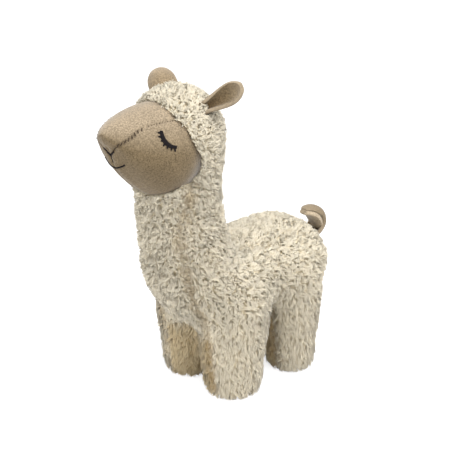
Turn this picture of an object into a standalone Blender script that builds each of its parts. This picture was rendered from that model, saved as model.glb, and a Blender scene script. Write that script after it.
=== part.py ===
"""A stuffed llama that a dog can carry: pile fleece over a fibre filling, with a cloth face, ears and tail.

Metres, +Z up. The llama faces -Y, its left side is +X, and it stands on four flat soles at Z = 0.
The origin is on the ground, in the middle of the toy's whole length and width. The sizes below are measured
from a point between the legs, and the finished toy is moved to that origin.
"""

import math

import bmesh
import bpy
from mathutils import Matrix, Vector
from mathutils.bvhtree import BVHTree

# Cloth, seams and thread
FLEECE = 0.006  # pile fleece, backing and pile together
FACE_CLOTH = 0.0018  # short-napped cloth of the face
SEAM_GAP = 0.0003  # between two pieces that are sewn or laid together
THREAD = 0.0009  # height of the embroidery above the cloth

# Legs. The soles are cut flat at Z = 0.
LEG_SPREAD = 0.0275  # leg's centre from the middle plane
FRONT_LEG_Y = -0.0240
HIND_LEG_Y = 0.0425
FRONT_LEG_HALF_WIDTH = 0.0258
FRONT_LEG_HALF_DEPTH = 0.0262
HIND_LEG_HALF_WIDTH = 0.0240
HIND_LEG_HALF_DEPTH = 0.0225
LEG_GROWTH = 1.24  # how much thicker the leg is where it enters the trunk
LEG_TOP_Z = 0.078
SHOULDER_CAP = 0.036  # the leg rounds off this far above its top ring
FOOT_ROUNDING = 0.014  # height over which the foot's side rounds in
SOLE_SHARE = 0.86  # of the leg's half width

# Trunk, lying along Y
TRUNK_HALF_WIDTH = 0.0500
CHEST_Y = -0.0455
CHEST_Z = 0.0950
CHEST_HALF_HEIGHT = 0.0345
RUMP_Y = 0.0560
RUMP_Z = 0.0965
RUMP_HALF_HEIGHT = 0.0330
WAIST_TAKEN_IN = 0.004
CHEST_CAP = 0.021  # how far the trunk's round ends reach beyond its last rings
RUMP_CAP = 0.031

# Neck and head
NECK_ROOT_Y = -0.0330
NECK_ROOT_Z = 0.0780
NECK_ROOT_HALF_WIDTH = 0.0490
NECK_ROOT_HALF_DEPTH = 0.0270
NECK_FOOT_Y = -0.0495
NECK_FOOT_Z = 0.1150
NECK_FOOT_HALF_WIDTH = 0.0440
NECK_FOOT_HALF_DEPTH = 0.0340
NECK_Y = -0.0580
NECK_Z = 0.1690
NECK_HALF_WIDTH = 0.0348
NECK_HALF_DEPTH = 0.0348
HEAD_Y = -0.0590
HEAD_Z = 0.2270
HEAD_HALF_WIDTH = 0.0398
HEAD_HALF_DEPTH = 0.0380
CROWN_CAP = 0.0415  # how far the crown is above the head's middle

# Face, a blunt cone along its own axis
FACE_Y = -0.0790  # where the face's axis crosses the seam with the fleece
FACE_Z = 0.2205
FACE_TILT = math.radians(17)  # the muzzle points up by this much
FACE_HALF_WIDTH = 0.0362
FACE_HALF_HEIGHT = 0.0362
FACE_LENGTH = 0.0555  # from the seam to the tip of the nose
FACE_FULLNESS = 2.0  # higher keeps the face wide for longer towards the nose
FACE_BLUNTNESS = 0.70  # lower makes the nose blunter
FACE_ROOT = 0.024  # how far the face's form goes back into the head
NOSE_LIFT = 0.0065  # the nose is this much above the face's own axis
MUZZLE_SLIMMING = 0.33  # below its axis the muzzle loses this share of its height towards the nose
BRIDGE_SLIMMING = 0.20  # and above it this share
FACE_KEEL = 1.0  # 1 gives the jaw an edge below, along the chin's seam, and 0 a round jaw
KEEL_SHARPNESS = 1.15  # nearer 1 makes that edge sharper
CHIN_TAKEN_UP = 0.085  # the jaw loses this share of its depth
LIP_TAKEN_UP = 1.75  # how fast it loses more, ahead of the mouth
MOUTH_SHARE = 0.68  # the mouth is this far along the face

# Panel seams of the fleece
BELLY_SEAM_X = 0.0285  # the seams down the legs, from the middle plane
CHEST_SEAM_X = 0.0235  # the chest panel's seams at the throat
CROTCH_Z = 0.0550  # top of the underside panel between the legs
BELLY_PANEL_TOP = 0.0850
CHEST_PANEL_TOP = 0.2150
CHEST_PANEL_STEP = 0.1000  # above this height the chest panel goes less far back
CHEST_PANEL_LOW_BACK = -0.0360
CHEST_PANEL_HIGH_BACK = -0.0500
HIND_PANEL_Y = 0.0500
BEYOND = 0.2  # cutting blocks reach this far past the toy

# The bridge panel of the face seen from the front: half widths at heights from the face's axis,
# both in shares of the face's half width and half height
BRIDGE_OUTLINE = (
    (0.0, -0.246), (0.229, -0.069), (0.442, 0.138), (0.514, 0.387), (0.613, 0.663), (0.663, 1.326),
)

# Ears
EAR_LENGTH = 0.0285
EAR_HALF_WIDTH = 0.0118
EAR_THICKNESS = 0.0032
EAR_CUP = 0.0080  # depth of the hollow across the ear
EAR_SEWN_IN = 0.0080  # the ear starts this far below its root point
EAR_ROOT = Vector((0.0275, -0.0505, 0.2545))
EAR_LEAN = Vector((0.66, 0.46, 0.56))  # direction of the left ear's length
EAR_HOLLOW = Vector((-0.28, -0.85, 0.36))  # the side that the hollow faces

# Tail, a tab that rises from the rump and curls forward
TAIL_PATH = (
    (0.0830, 0.0975), (0.0950, 0.1015), (0.1025, 0.1070), (0.1040, 0.1135),
    (0.1005, 0.1205), (0.0940, 0.1240), (0.0885, 0.1240),
)
TAIL_HALF_WIDTH = 0.0106
TAIL_HALF_THICKNESS = 0.0036

# Embroidery. The eye's arc is in shares of the face's length and half height, (along, up). Nose, mouth
# and seam stitches are in shares of its half width and half height. Bands, lines and stitches are metres.
EYE_ARC = ((0.400, 0.492), (0.386, 0.345), (0.325, 0.252), (0.196, 0.226))
EYE_BAND = 0.0024
EYE_LASHES = 7
LASH_LENGTH = 0.0016
NOSE_CENTRE = -0.246
NOSE_ARM = 0.177
NOSE_ARM_RISE = 0.122
NOSE_STEM = 0.146
NOSE_LINE = 0.0013
MOUTH_DROP = -0.492
MOUTH_HALF_WIDTH = 0.343
MOUTH_RISE = 0.144
SEAM_STITCHES = 6
SEAM_STITCH_LENGTH = 0.0040
SEAM_LINE = 0.0008
SEAM_STITCH_FROM = (0.414, 0.110)  # the stitched stretch of the bridge's seam, (across, up)
SEAM_STITCH_TO = (0.497, 0.331)

# Squeaker, in a pocket of the filling behind the closing stitches
SQUEAKER_Y = 0.0120
SQUEAKER_Z = 0.0900
SQUEAKER_RADIUS = 0.0130
SQUEAKER_WALL = 0.0012
SQUEAKER_MOUTH = 0.0035
POCKET_ROOM = 0.0003  # around the bulb, which the fibre holds
CLOSING_LENGTH = 0.0400  # of the hand-sewn belly opening
CLOSING_STITCHES = 9
CLOSING_BAND = 0.0008
CLOSING_STITCH_LENGTH = 0.0030

# Mesh fineness
TUBE_SIDES = 28
FACE_RINGS = 14
REMESH_VOXEL = 0.0036
LOST_IN_SMOOTHING = 0.0008  # smoothing shrinks the form by this much
SOLE_FLATNESS = 0.0004  # lower points than this lie on the ground
FORM_SHARE = 0.088  # of the remeshed form's triangles that are kept


def clear_scene():
    for old in list(bpy.data.objects):
        bpy.data.objects.remove(old)


def new_object(name, bm):
    mesh = bpy.data.meshes.new(name)
    bm.to_mesh(mesh)
    bm.free()
    made = bpy.data.objects.new(name, mesh)
    bpy.context.scene.collection.objects.link(made)
    return made


def baked(obj):
    """Replaces the object's mesh by what its modifiers make of it."""
    bpy.context.view_layer.update()
    graph = bpy.context.evaluated_depsgraph_get()
    mesh = bpy.data.meshes.new_from_object(obj.evaluated_get(graph))
    obj.modifiers.clear()
    obj.data = mesh
    return obj


def copied(obj, name):
    twin = obj.copy()
    twin.data = obj.data.copy()
    twin.name = name
    bpy.context.scene.collection.objects.link(twin)
    return twin


def combined(obj, other, operation, name=None):
    """A new object: obj with other taken away, added or kept in common."""
    made = copied(obj, name or obj.name)
    cut = made.modifiers.new(operation.lower(), "BOOLEAN")
    cut.operation = operation
    cut.solver = "EXACT"
    cut.object = other
    return baked(made)


def offset_form(form, distance, name):
    """The same closed form, moved out along its normals by a distance (in, where it is negative)."""
    bm = bmesh.new()
    bm.from_mesh(form.data)
    bm.normal_update()
    moves = [(v, v.normal * distance * min(v.calc_shell_factor(), 1.35)) for v in bm.verts]
    for v, move in moves:
        v.co += move
    return new_object(name, bm)


def smooth_between(a, b, c, d, share):
    """A point between b and c on the smooth curve through all four."""
    return 0.5 * (
        2 * b
        + (c - a) * share
        + (2 * a - 5 * b + 4 * c - d) * share**2
        + (3 * b - a - 3 * c + d) * share**3
    )


def filled_in(stations, steps=4):
    """Stations (centre, half width, half depth) with smooth ones between them."""
    out = []
    last = len(stations) - 1
    for i in range(last):
        four = [stations[min(max(k, 0), last)] for k in (i - 1, i, i + 1, i + 2)]
        for step in range(steps):
            out.append(tuple(smooth_between(*part, step / steps) for part in zip(*four)))
    return out + [stations[last]]


def dome(end, neighbour, cap, steps=5):
    """Rings that round off a tube's end; cap is how far it reaches past the last ring."""
    centre, half_width, half_depth = end
    out = (centre - neighbour[0]).normalized()
    angles = [math.radians(85) * (k + 1) / steps for k in range(steps)]
    return [
        (centre + out * cap * math.sin(t), half_width * math.cos(t), half_depth * math.cos(t))
        for t in angles
    ]


def add_tube(bm, stations):
    """A closed tube through its stations; its line stays in a plane of constant X."""
    across = Vector((1, 0, 0))
    rings = []
    for i, (centre, half_width, half_depth) in enumerate(stations):
        along = stations[min(i + 1, len(stations) - 1)][0] - stations[max(i - 1, 0)][0]
        along.normalize()
        deep = along.cross(across)
        turn = Matrix((across * half_width, deep * half_depth, along)).transposed().to_4x4()
        place = Matrix.Translation(centre) @ turn
        made = bmesh.ops.create_circle(bm, segments=TUBE_SIDES, radius=1, matrix=place)
        rings.append(list({e for v in made["verts"] for e in v.link_edges}))
    for before, after in zip(rings, rings[1:]):
        bmesh.ops.bridge_loops(bm, edges=before + after)
    for end in (rings[0], rings[-1]):
        bmesh.ops.contextual_create(bm, geom=end)
    bmesh.ops.recalc_face_normals(bm, faces=bm.faces)


def at(x, y, z):
    return Vector((x, y, z))


def leg_stations(x, y, half_width, half_depth):
    """A leg from just below the ground up into the trunk."""
    shares = ((-0.35, SOLE_SHARE * 0.8), (0.0, SOLE_SHARE), (0.4, 0.955), (1.0, 1.0))
    foot = [(at(x, y, FOOT_ROUNDING * z), half_width * s, half_depth * s) for z, s in shares]
    top = (at(x, y, LEG_TOP_Z), half_width * LEG_GROWTH, half_depth * LEG_GROWTH)
    return foot + filled_in([foot[-1], top])[1:] + dome(top, foot[-1], SHOULDER_CAP)


def trunk_stations():
    chest = (at(0, CHEST_Y, CHEST_Z), TRUNK_HALF_WIDTH, CHEST_HALF_HEIGHT)
    rump = (at(0, RUMP_Y, RUMP_Z), TRUNK_HALF_WIDTH, RUMP_HALF_HEIGHT)
    waist = (
        (chest[0] + rump[0]) / 2,
        TRUNK_HALF_WIDTH - WAIST_TAKEN_IN,
        (CHEST_HALF_HEIGHT + RUMP_HALF_HEIGHT) / 2,
    )
    rings = [chest, waist, rump]
    return dome(chest, waist, CHEST_CAP)[::-1] + filled_in(rings) + dome(rump, waist, RUMP_CAP)


def neck_stations():
    rings = [
        (at(0, NECK_ROOT_Y, NECK_ROOT_Z), NECK_ROOT_HALF_WIDTH, NECK_ROOT_HALF_DEPTH),
        (at(0, NECK_FOOT_Y, NECK_FOOT_Z), NECK_FOOT_HALF_WIDTH, NECK_FOOT_HALF_DEPTH),
        (at(0, NECK_Y, NECK_Z), NECK_HALF_WIDTH, NECK_HALF_DEPTH),
        (at(0, HEAD_Y, HEAD_Z), HEAD_HALF_WIDTH, HEAD_HALF_DEPTH),
    ]
    return filled_in(rings) + dome(rings[-1], rings[-2], CROWN_CAP)


def soft_body():
    """The outside of the fleece, closed over the head, as one smooth and still finely meshed body."""
    bm = bmesh.new()
    for side in (1, -1):
        x = side * LEG_SPREAD
        add_tube(bm, leg_stations(x, FRONT_LEG_Y, FRONT_LEG_HALF_WIDTH, FRONT_LEG_HALF_DEPTH))
        add_tube(bm, leg_stations(x, HIND_LEG_Y, HIND_LEG_HALF_WIDTH, HIND_LEG_HALF_DEPTH))
    add_tube(bm, trunk_stations())
    add_tube(bm, neck_stations())
    form = new_object("soft_body", bm)
    remesh = form.modifiers.new("union", "REMESH")
    remesh.mode = "VOXEL"
    remesh.voxel_size = REMESH_VOXEL
    soften = form.modifiers.new("soften", "SMOOTH")
    soften.factor = 0.5
    soften.iterations = 22
    restore = form.modifiers.new("restore", "DISPLACE")
    restore.strength = LOST_IN_SMOOTHING
    restore.mid_level = 0
    return baked(form)


def layer(soft, depth, name):
    """The soft body's surface at a depth below the pile, cut flat at that depth below and thinned out."""
    form = copied(soft, name)
    sink = form.modifiers.new("sink", "DISPLACE")
    sink.strength = -depth
    sink.mid_level = 0
    baked(form)
    bm = bmesh.new()
    bm.from_mesh(form.data)
    bmesh.ops.bisect_plane(
        bm, geom=bm.verts[:] + bm.edges[:] + bm.faces[:], plane_co=(0, 0, depth),
        plane_no=(0, 0, -1), clear_outer=True,
    )
    bmesh.ops.holes_fill(bm, edges=[e for e in bm.edges if e.is_boundary])
    bmesh.ops.triangulate(bm, faces=bm.faces)
    bm.to_mesh(form.data)
    bm.free()
    fewer = form.modifiers.new("fewer", "DECIMATE")
    fewer.ratio = FORM_SHARE
    fewer.use_symmetry = True
    fewer.symmetry_axis = "X"
    baked(form)
    for v in form.data.vertices:
        if v.co.z < depth + SOLE_FLATNESS:
            v.co.z = depth
    return form


def face_frame():
    """Where the face's axis crosses the seam, its direction to the nose, the direction up the face."""
    ahead = Vector((0, -math.cos(FACE_TILT), math.sin(FACE_TILT)))
    up = Vector((0, math.sin(FACE_TILT), math.cos(FACE_TILT)))
    return at(0, FACE_Y, FACE_Z), ahead, up


def face_form():
    """The face's outside, closed at the back inside the head: a blunt egg cut off behind."""
    seat, ahead, up = face_frame()
    whole = [(seat - ahead * FACE_ROOT, FACE_HALF_WIDTH * 0.93, FACE_HALF_HEIGHT * 0.93)]
    for step in range(FACE_RINGS):
        share = 1 - (1 - step / FACE_RINGS) ** 1.6
        size = (1 - share**FACE_FULLNESS) ** FACE_BLUNTNESS
        place = seat + ahead * FACE_LENGTH * share
        place += up * NOSE_LIFT * share**2
        slim = 1 - MUZZLE_SLIMMING * share**2
        whole.append((place, FACE_HALF_WIDTH * size, FACE_HALF_HEIGHT * size * slim))
    bm = bmesh.new()
    add_tube(bm, whole)
    for v in bm.verts:
        share = min(1, max(0, (v.co - seat).dot(ahead) / FACE_LENGTH))
        under = -(v.co - seat - up * NOSE_LIFT * share**2).dot(up)
        if under <= 0:
            fuller = (1 - BRIDGE_SLIMMING * share**2) / (1 - MUZZLE_SLIMMING * share**2)
            v.co -= up * under * (fuller - 1)
        else:
            half_width = FACE_HALF_WIDTH * max(1e-6, 1 - share**FACE_FULLNESS) ** FACE_BLUNTNESS
            sideways = min(0.999, abs(v.co.x) / half_width)
            round_depth = math.sqrt(1 - sideways**2)
            keel_depth = math.sqrt(1 - sideways**KEEL_SHARPNESS)
            keel = FACE_KEEL * min(1, share / 0.55) * round_depth
            deep = round_depth + (keel_depth - round_depth) * keel
            deep *= 1 - (CHIN_TAKEN_UP * min(1, share / 0.4) + jaw_loss(share)) * round_depth
            v.co += up * under * (1 - deep / round_depth)
    return new_object("face_form", bm)


def on_face(across, up):
    """Shares of the face's half width and half height in metres."""
    return across * FACE_HALF_WIDTH, up * FACE_HALF_HEIGHT


def jaw_loss(share):
    """The share of its depth that the jaw loses ahead of the mouth."""
    return min(0.27, max(0, LIP_TAKEN_UP * (share - MOUTH_SHARE)))


def block(name, outline, reach):
    """A solid with a (y, z) outline; reach(z) is its half width in X."""
    bm = bmesh.new()
    for side in (1, -1):
        for y, z in outline:
            bm.verts.new((side * reach(z), y, z))
    verts = list(bm.verts)
    half = len(outline)
    left = bm.faces.new(verts[:half])
    right = bm.faces.new(verts[half:])
    bmesh.ops.bridge_loops(bm, edges=list(left.edges) + list(right.edges))
    bmesh.ops.recalc_face_normals(bm, faces=bm.faces)
    bmesh.ops.triangulate(bm, faces=bm.faces)
    return new_object(name, bm)


def belly_block(room):
    side = BELLY_SEAM_X + room
    outline = (
        (-BEYOND, -BEYOND), (BEYOND, -BEYOND), (BEYOND, CROTCH_Z + room),
        (HIND_PANEL_Y + room, CROTCH_Z + room), (HIND_PANEL_Y + room, BELLY_PANEL_TOP + room),
        (CHEST_PANEL_LOW_BACK, BELLY_PANEL_TOP + room), (CHEST_PANEL_LOW_BACK, CROTCH_Z),
        (-BEYOND, CROTCH_Z),
    )
    return block("belly_block", outline, lambda z: side)


def chest_block(room):
    def reach(z):
        share = (z - CROTCH_Z) / (CHEST_PANEL_TOP - CROTCH_Z)
        return BELLY_SEAM_X + (CHEST_SEAM_X - BELLY_SEAM_X) * share + room

    low = CROTCH_Z + SEAM_GAP
    low_back = CHEST_PANEL_LOW_BACK - SEAM_GAP
    outline = (
        (-BEYOND, low), (low_back, low), (low_back, CHEST_PANEL_STEP),
        (CHEST_PANEL_HIGH_BACK + room, CHEST_PANEL_STEP),
        (CHEST_PANEL_HIGH_BACK + room, CHEST_PANEL_TOP + room), (-BEYOND, CHEST_PANEL_TOP + room),
    )
    return block("chest_block", outline, reach)


def half_block(side):
    """Everything on one side of the middle plane."""
    bm = bmesh.new()
    bmesh.ops.create_cube(bm, size=BEYOND * 2)
    bmesh.ops.translate(bm, verts=bm.verts, vec=(side * (BEYOND + SEAM_GAP / 2), 0, BEYOND / 2))
    return new_object("half_block", bm)


def bridge_block(room):
    """The bridge panel's outline carried along the face's axis."""
    seat, ahead, up = face_frame()
    drawn = [on_face(x, z) for x, z in BRIDGE_OUTLINE]
    corners = [(x + room, z - room) for x, z in drawn[1:]]
    tip = drawn[0]
    outline = [(0.0, tip[1] - room)] + corners + [(-x, z) for x, z in reversed(corners)]
    bm = bmesh.new()
    base = seat - ahead * (FACE_ROOT + 0.02)
    ring = [bm.verts.new(base + Vector((x, 0, 0)) + up * z) for x, z in outline]
    bm.faces.new(ring)
    bmesh.ops.recalc_face_normals(bm, faces=bm.faces)
    grown = bmesh.ops.extrude_face_region(bm, geom=bm.faces[:])
    verts = [v for v in grown["geom"] if isinstance(v, bmesh.types.BMVert)]
    bmesh.ops.translate(bm, verts=verts, vec=ahead * (FACE_ROOT + FACE_LENGTH + 0.05))
    bmesh.ops.recalc_face_normals(bm, faces=bm.faces)
    bmesh.ops.triangulate(bm, faces=bm.faces)
    return new_object("bridge_block", bm)


def ear(side):
    """A cupped leaf: its length along EAR_LEAN, its hollow to the front."""
    mirror = Vector((side, 1, 1))
    lean = (EAR_LEAN * mirror).normalized()
    hollow = EAR_HOLLOW * mirror
    hollow = (hollow - lean * hollow.dot(lean)).normalized()
    across = lean.cross(hollow)
    root = EAR_ROOT * mirror
    bm = bmesh.new()
    bmesh.ops.create_grid(bm, x_segments=8, y_segments=10, size=1)
    for v in bm.verts:
        share, sideways = (v.co.y + 1) / 2, v.co.x
        length = EAR_LENGTH + EAR_SEWN_IN
        if share < 0.42:
            width = 0.74 + 0.26 * math.sin(share / 0.42 * math.pi / 2)
        else:
            width = max(0.16, math.sqrt(max(0, 1 - ((share - 0.42) / 0.585) ** 2)))
        cup = EAR_CUP * (sideways * width) ** 2
        v.co = (
            root
            + lean * (share * length - EAR_SEWN_IN)
            + across * sideways * width * EAR_HALF_WIDTH
            + hollow * cup
        )
    bmesh.ops.recalc_face_normals(bm, faces=bm.faces)
    thick_sheet(bm, hollow * -EAR_THICKNESS)
    return new_object("left_ear" if side > 0 else "right_ear", bm)


def thick_sheet(bm, push):
    """Turns an open sheet into a solid by pushing a copy of it along one direction."""
    grown = bmesh.ops.extrude_face_region(bm, geom=bm.faces[:])
    verts = [v for v in grown["geom"] if isinstance(v, bmesh.types.BMVert)]
    bmesh.ops.translate(bm, verts=verts, vec=push)
    bmesh.ops.triangulate(bm, faces=bm.faces)
    bmesh.ops.recalc_face_normals(bm, faces=bm.faces)


def tail():
    path = [(at(0, y, z), TAIL_HALF_WIDTH, TAIL_HALF_THICKNESS) for y, z in TAIL_PATH]
    rings = filled_in(path, steps=2)
    bm = bmesh.new()
    add_tube(bm, rings + dome(rings[-1], rings[-2], TAIL_HALF_THICKNESS, steps=3))
    bmesh.ops.triangulate(bm, faces=bm.faces)
    return new_object("tail", bm)


def laid_on(bm, form, cast_from, cast_along):
    """Drops a flat drawing onto a form and thickens it outwards, a seam's gap above the cloth."""
    tree = BVHTree.FromObject(form, bpy.context.evaluated_depsgraph_get())
    low = []
    for v in bm.verts:
        hit, normal, _, _ = tree.ray_cast(cast_from(v.co), cast_along)
        low.append((v, hit, normal))
    bm.normal_update()
    drawn = list(bm.verts)
    grown = bmesh.ops.extrude_face_region(bm, geom=bm.faces[:])
    raised = [v for v in grown["geom"] if isinstance(v, bmesh.types.BMVert)]
    lift = {}
    for v, hit, normal in low:
        lift[tuple(round(c, 7) for c in v.co)] = (hit, normal)
    for v in raised:
        hit, normal = lift[tuple(round(c, 7) for c in v.co)]
        v.co = hit + normal * (2 * SEAM_GAP + THREAD)
    for v in drawn:
        hit, normal = lift[tuple(round(c, 7) for c in v.co)]
        v.co = hit + normal * 2 * SEAM_GAP
    bmesh.ops.triangulate(bm, faces=bm.faces)
    bmesh.ops.recalc_face_normals(bm, faces=bm.faces)


def band(points, width, teeth_below=0, teeth_above=0, tooth=0.0):
    """A flat band along a line of (u, v) points, with pointed teeth (stitches or lashes) on its sides."""
    teeth = max(teeth_below, teeth_above)
    count = 2 * teeth + 1 if teeth else 10
    line = [Vector((u, v, 0)) for u, v in points]
    fine = filled_in([(p,) for p in line], steps=12)
    bm = bmesh.new()
    bmesh.ops.create_grid(bm, x_segments=count, y_segments=1, size=0.5)
    sides = {}
    for v in bm.verts:
        share = v.co.x + 0.5
        place = share * (len(fine) - 1)
        i = min(int(place), len(fine) - 2)
        here = fine[i][0].lerp(fine[i + 1][0], place - i)
        along = (fine[i + 1][0] - fine[i][0]).normalized()
        outward = Vector((-along.y, along.x, 0))
        end = 0.55 if share < 0.01 or share > 0.99 else 1.0
        sides[v] = (here + outward * v.co.y * width * end, outward)
    edges = {}
    for e in bm.edges:
        a, b = e.verts
        if abs(a.co.y - b.co.y) < 1e-6:
            slot = int(round(((a.co.x + b.co.x) / 2 + 0.5) * count - 0.5))
            edges[slot, a.co.y > 0] = e
    for v, (place, _) in sides.items():
        v.co = place
    for above, number in ((False, teeth_below), (True, teeth_above)):
        for k in range(number):
            edge = edges[2 * k + 1, above]
            outward = sides[edge.verts[0]][1] * (1 if above else -1)
            grown = bmesh.ops.extrude_edge_only(bm, edges=[edge])
            tips = [v for v in grown["geom"] if isinstance(v, bmesh.types.BMVert)]
            middle = (tips[0].co + tips[1].co) / 2
            for tip in tips:
                tip.co = middle + (tip.co - middle) * 0.45 + outward * tooth
    bmesh.ops.recalc_face_normals(bm, faces=bm.faces)
    return bm


def on_side(form, bm, side):
    """Lays a drawing of (along, up) on one cheek, cast in from that side."""
    seat, ahead, up = face_frame()
    out = Vector((side, 0, 0))
    laid_on(bm, form, lambda p: seat + ahead * p.x + up * p.y + out * 0.1, -out)


def on_front(form, bm):
    """Lays a drawing of (across, up) on the nose, cast in from the front."""
    seat, ahead, up = face_frame()
    laid_on(bm, form, lambda p: seat + Vector((p.x, 0, 0)) + up * p.y + ahead * 0.15, -ahead)


def eye(form, side):
    arc = [(along * FACE_LENGTH, up * FACE_HALF_HEIGHT) for along, up in EYE_ARC]
    bm = band(arc, EYE_BAND, teeth_above=EYE_LASHES, tooth=LASH_LENGTH)
    on_side(form, bm, side)
    return new_object("left_eye_stitches" if side > 0 else "right_eye_stitches", bm)


def seam_stitches(form, side):
    ends = [on_face(side * x, z) for x, z in (SEAM_STITCH_FROM, SEAM_STITCH_TO)]
    bm = band(ends, SEAM_LINE, SEAM_STITCHES, SEAM_STITCHES, SEAM_STITCH_LENGTH / 2)
    on_front(form, bm)
    return new_object("left_seam_stitches" if side > 0 else "right_seam_stitches", bm)


def mouth(form):
    line = [
        on_face(x * MOUTH_HALF_WIDTH, MOUTH_DROP + MOUTH_RISE * x * x) for x in (-1.0, -0.5, 0.0, 0.5, 1.0)
    ]
    bm = band(line, NOSE_LINE)
    on_front(form, bm)
    return new_object("mouth_stitches", bm)


def nose(form):
    """A Y: two arms up along the bridge's seams and a stem down."""
    bm = bmesh.new()
    ring = bmesh.ops.create_circle(bm, segments=3, radius=NOSE_LINE * 0.6, cap_ends=True)["verts"]
    turn = Matrix.Rotation(math.radians(60 - 90), 4, "Z")
    bmesh.ops.transform(bm, verts=ring, matrix=turn)
    arms = (
        Vector((*on_face(NOSE_ARM, NOSE_ARM_RISE), 0)), Vector((*on_face(-NOSE_ARM, NOSE_ARM_RISE), 0)),
        Vector((*on_face(0, -NOSE_STEM), 0)),
    )
    for edge in list(bm.edges):
        middle = (edge.verts[0].co + edge.verts[1].co) / 2
        reach = max(arms, key=lambda arm: arm.normalized().dot(middle.normalized()))
        for part in (0.5, 0.5):
            grown = bmesh.ops.extrude_edge_only(bm, edges=[edge])["geom"]
            tips = [v for v in grown if isinstance(v, bmesh.types.BMVert)]
            bmesh.ops.translate(bm, verts=tips, vec=reach * part)
            edge = [e for e in grown if isinstance(e, bmesh.types.BMEdge)][0]
    bmesh.ops.translate(bm, verts=bm.verts, vec=(*on_face(0, NOSE_CENTRE), 0))
    bmesh.ops.recalc_face_normals(bm, faces=bm.faces)
    on_front(form, bm)
    return new_object("nose_stitches", bm)


def closing_stitches(form):
    half = CLOSING_LENGTH / 2
    ends = [(0, SQUEAKER_Y - half), (0, SQUEAKER_Y + half)]
    bm = band(ends, CLOSING_BAND, CLOSING_STITCHES, CLOSING_STITCHES, CLOSING_STITCH_LENGTH)
    laid_on(bm, form, lambda p: Vector((p.x, p.y, FOOT_ROUNDING)), Vector((0, 0, 1)))
    return new_object("closing_stitches", bm)


def spun(name, outline, centre):
    """A solid of revolution about a vertical axis, from a closed outline of (radius, height)."""
    bm = bmesh.new()
    verts = [bm.verts.new((r, 0, z)) for r, z in outline]
    for a, b in zip(verts, verts[1:] + verts[:1]):
        bm.edges.new((a, b))
    bmesh.ops.spin(
        bm, geom=bm.verts[:] + bm.edges[:], cent=(0, 0, 0), axis=(0, 0, 1),
        angle=2 * math.pi, steps=20, use_merge=True,
    )
    bmesh.ops.remove_doubles(bm, verts=bm.verts, dist=0.00001)
    bmesh.ops.recalc_face_normals(bm, faces=bm.faces)
    bmesh.ops.translate(bm, verts=bm.verts, vec=centre)
    return new_object(name, bm)


def squeaker_bulb():
    """A hollow ball with its mouth below."""
    def arc(radius, steps):
        low = math.asin(SQUEAKER_MOUTH / radius)
        angles = [low + (math.pi - low) * k / steps for k in range(steps + 1)]
        return [(max(0.0, radius * math.sin(t)), -radius * math.cos(t)) for t in angles]

    outside = arc(SQUEAKER_RADIUS, 10)
    inside = arc(SQUEAKER_RADIUS - SQUEAKER_WALL, 10)
    return spun("squeaker_bulb", outside + inside[::-1], at(0, SQUEAKER_Y, SQUEAKER_Z))


def squeaker_reed():
    """A small tube in the bulb's mouth with a rim below it."""
    plug = SQUEAKER_MOUTH - SEAM_GAP
    under = -math.sqrt(SQUEAKER_RADIUS**2 - SQUEAKER_MOUTH**2)
    outline = (
        (0.0012, under + 0.006), (plug, under + 0.006), (plug, under - 2 * SEAM_GAP),
        (plug + 0.0015, under - 2 * SEAM_GAP), (plug + 0.0015, under - 0.0018), (0.0012, under - 0.0018),
    )
    return spun("squeaker_reed", outline, at(0, SQUEAKER_Y, SQUEAKER_Z))


def squeaker_pocket():
    bm = bmesh.new()
    top = SQUEAKER_Z + SQUEAKER_RADIUS + POCKET_ROOM
    low = BELLY_PANEL_TOP - 0.040
    radius = SQUEAKER_RADIUS + POCKET_ROOM
    bmesh.ops.create_cone(
        bm, cap_ends=True, segments=20, radius1=radius, radius2=radius, depth=top - low,
        matrix=Matrix.Translation((0, SQUEAKER_Y, (top + low) / 2)),
    )
    return new_object("squeaker_pocket", bm)


def finished(obj, name, colour, roughness, smooth=True):
    """Names the piece and gives it its own material."""
    obj.name = name
    obj.data.name = name
    material = bpy.data.materials.new(name)
    material.use_nodes = True
    shader = material.node_tree.nodes["Principled BSDF"]
    shader.inputs["Base Color"].default_value = (*colour, 1)
    shader.inputs["Roughness"].default_value = roughness
    obj.data.materials.clear()
    obj.data.materials.append(material)
    if smooth:
        for polygon in obj.data.polygons:
            polygon.use_smooth = True
        obj.data.set_sharp_from_angle(angle=math.radians(40))
    return obj


def centred(pieces):
    """Moves the toy so that the origin is below the middle of its length and width."""
    points = [v.co for piece in pieces for v in piece.data.vertices]
    middle = [(min(p[i] for p in points) + max(p[i] for p in points)) / 2 for i in (0, 1)]
    for piece in pieces:
        piece.data.transform(Matrix.Translation((-middle[0], -middle[1], 0)))


FLEECE_COLOUR = (0.80, 0.74, 0.62)
CLOTH_COLOUR = (0.52, 0.42, 0.32)
THREAD_COLOUR = (0.015, 0.012, 0.012)
CLOSING_COLOUR = (0.70, 0.64, 0.53)
FIBRE_COLOUR = (0.86, 0.86, 0.85)
BULB_COLOUR = (0.82, 0.82, 0.80)
REED_COLOUR = (0.60, 0.10, 0.08)


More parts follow.
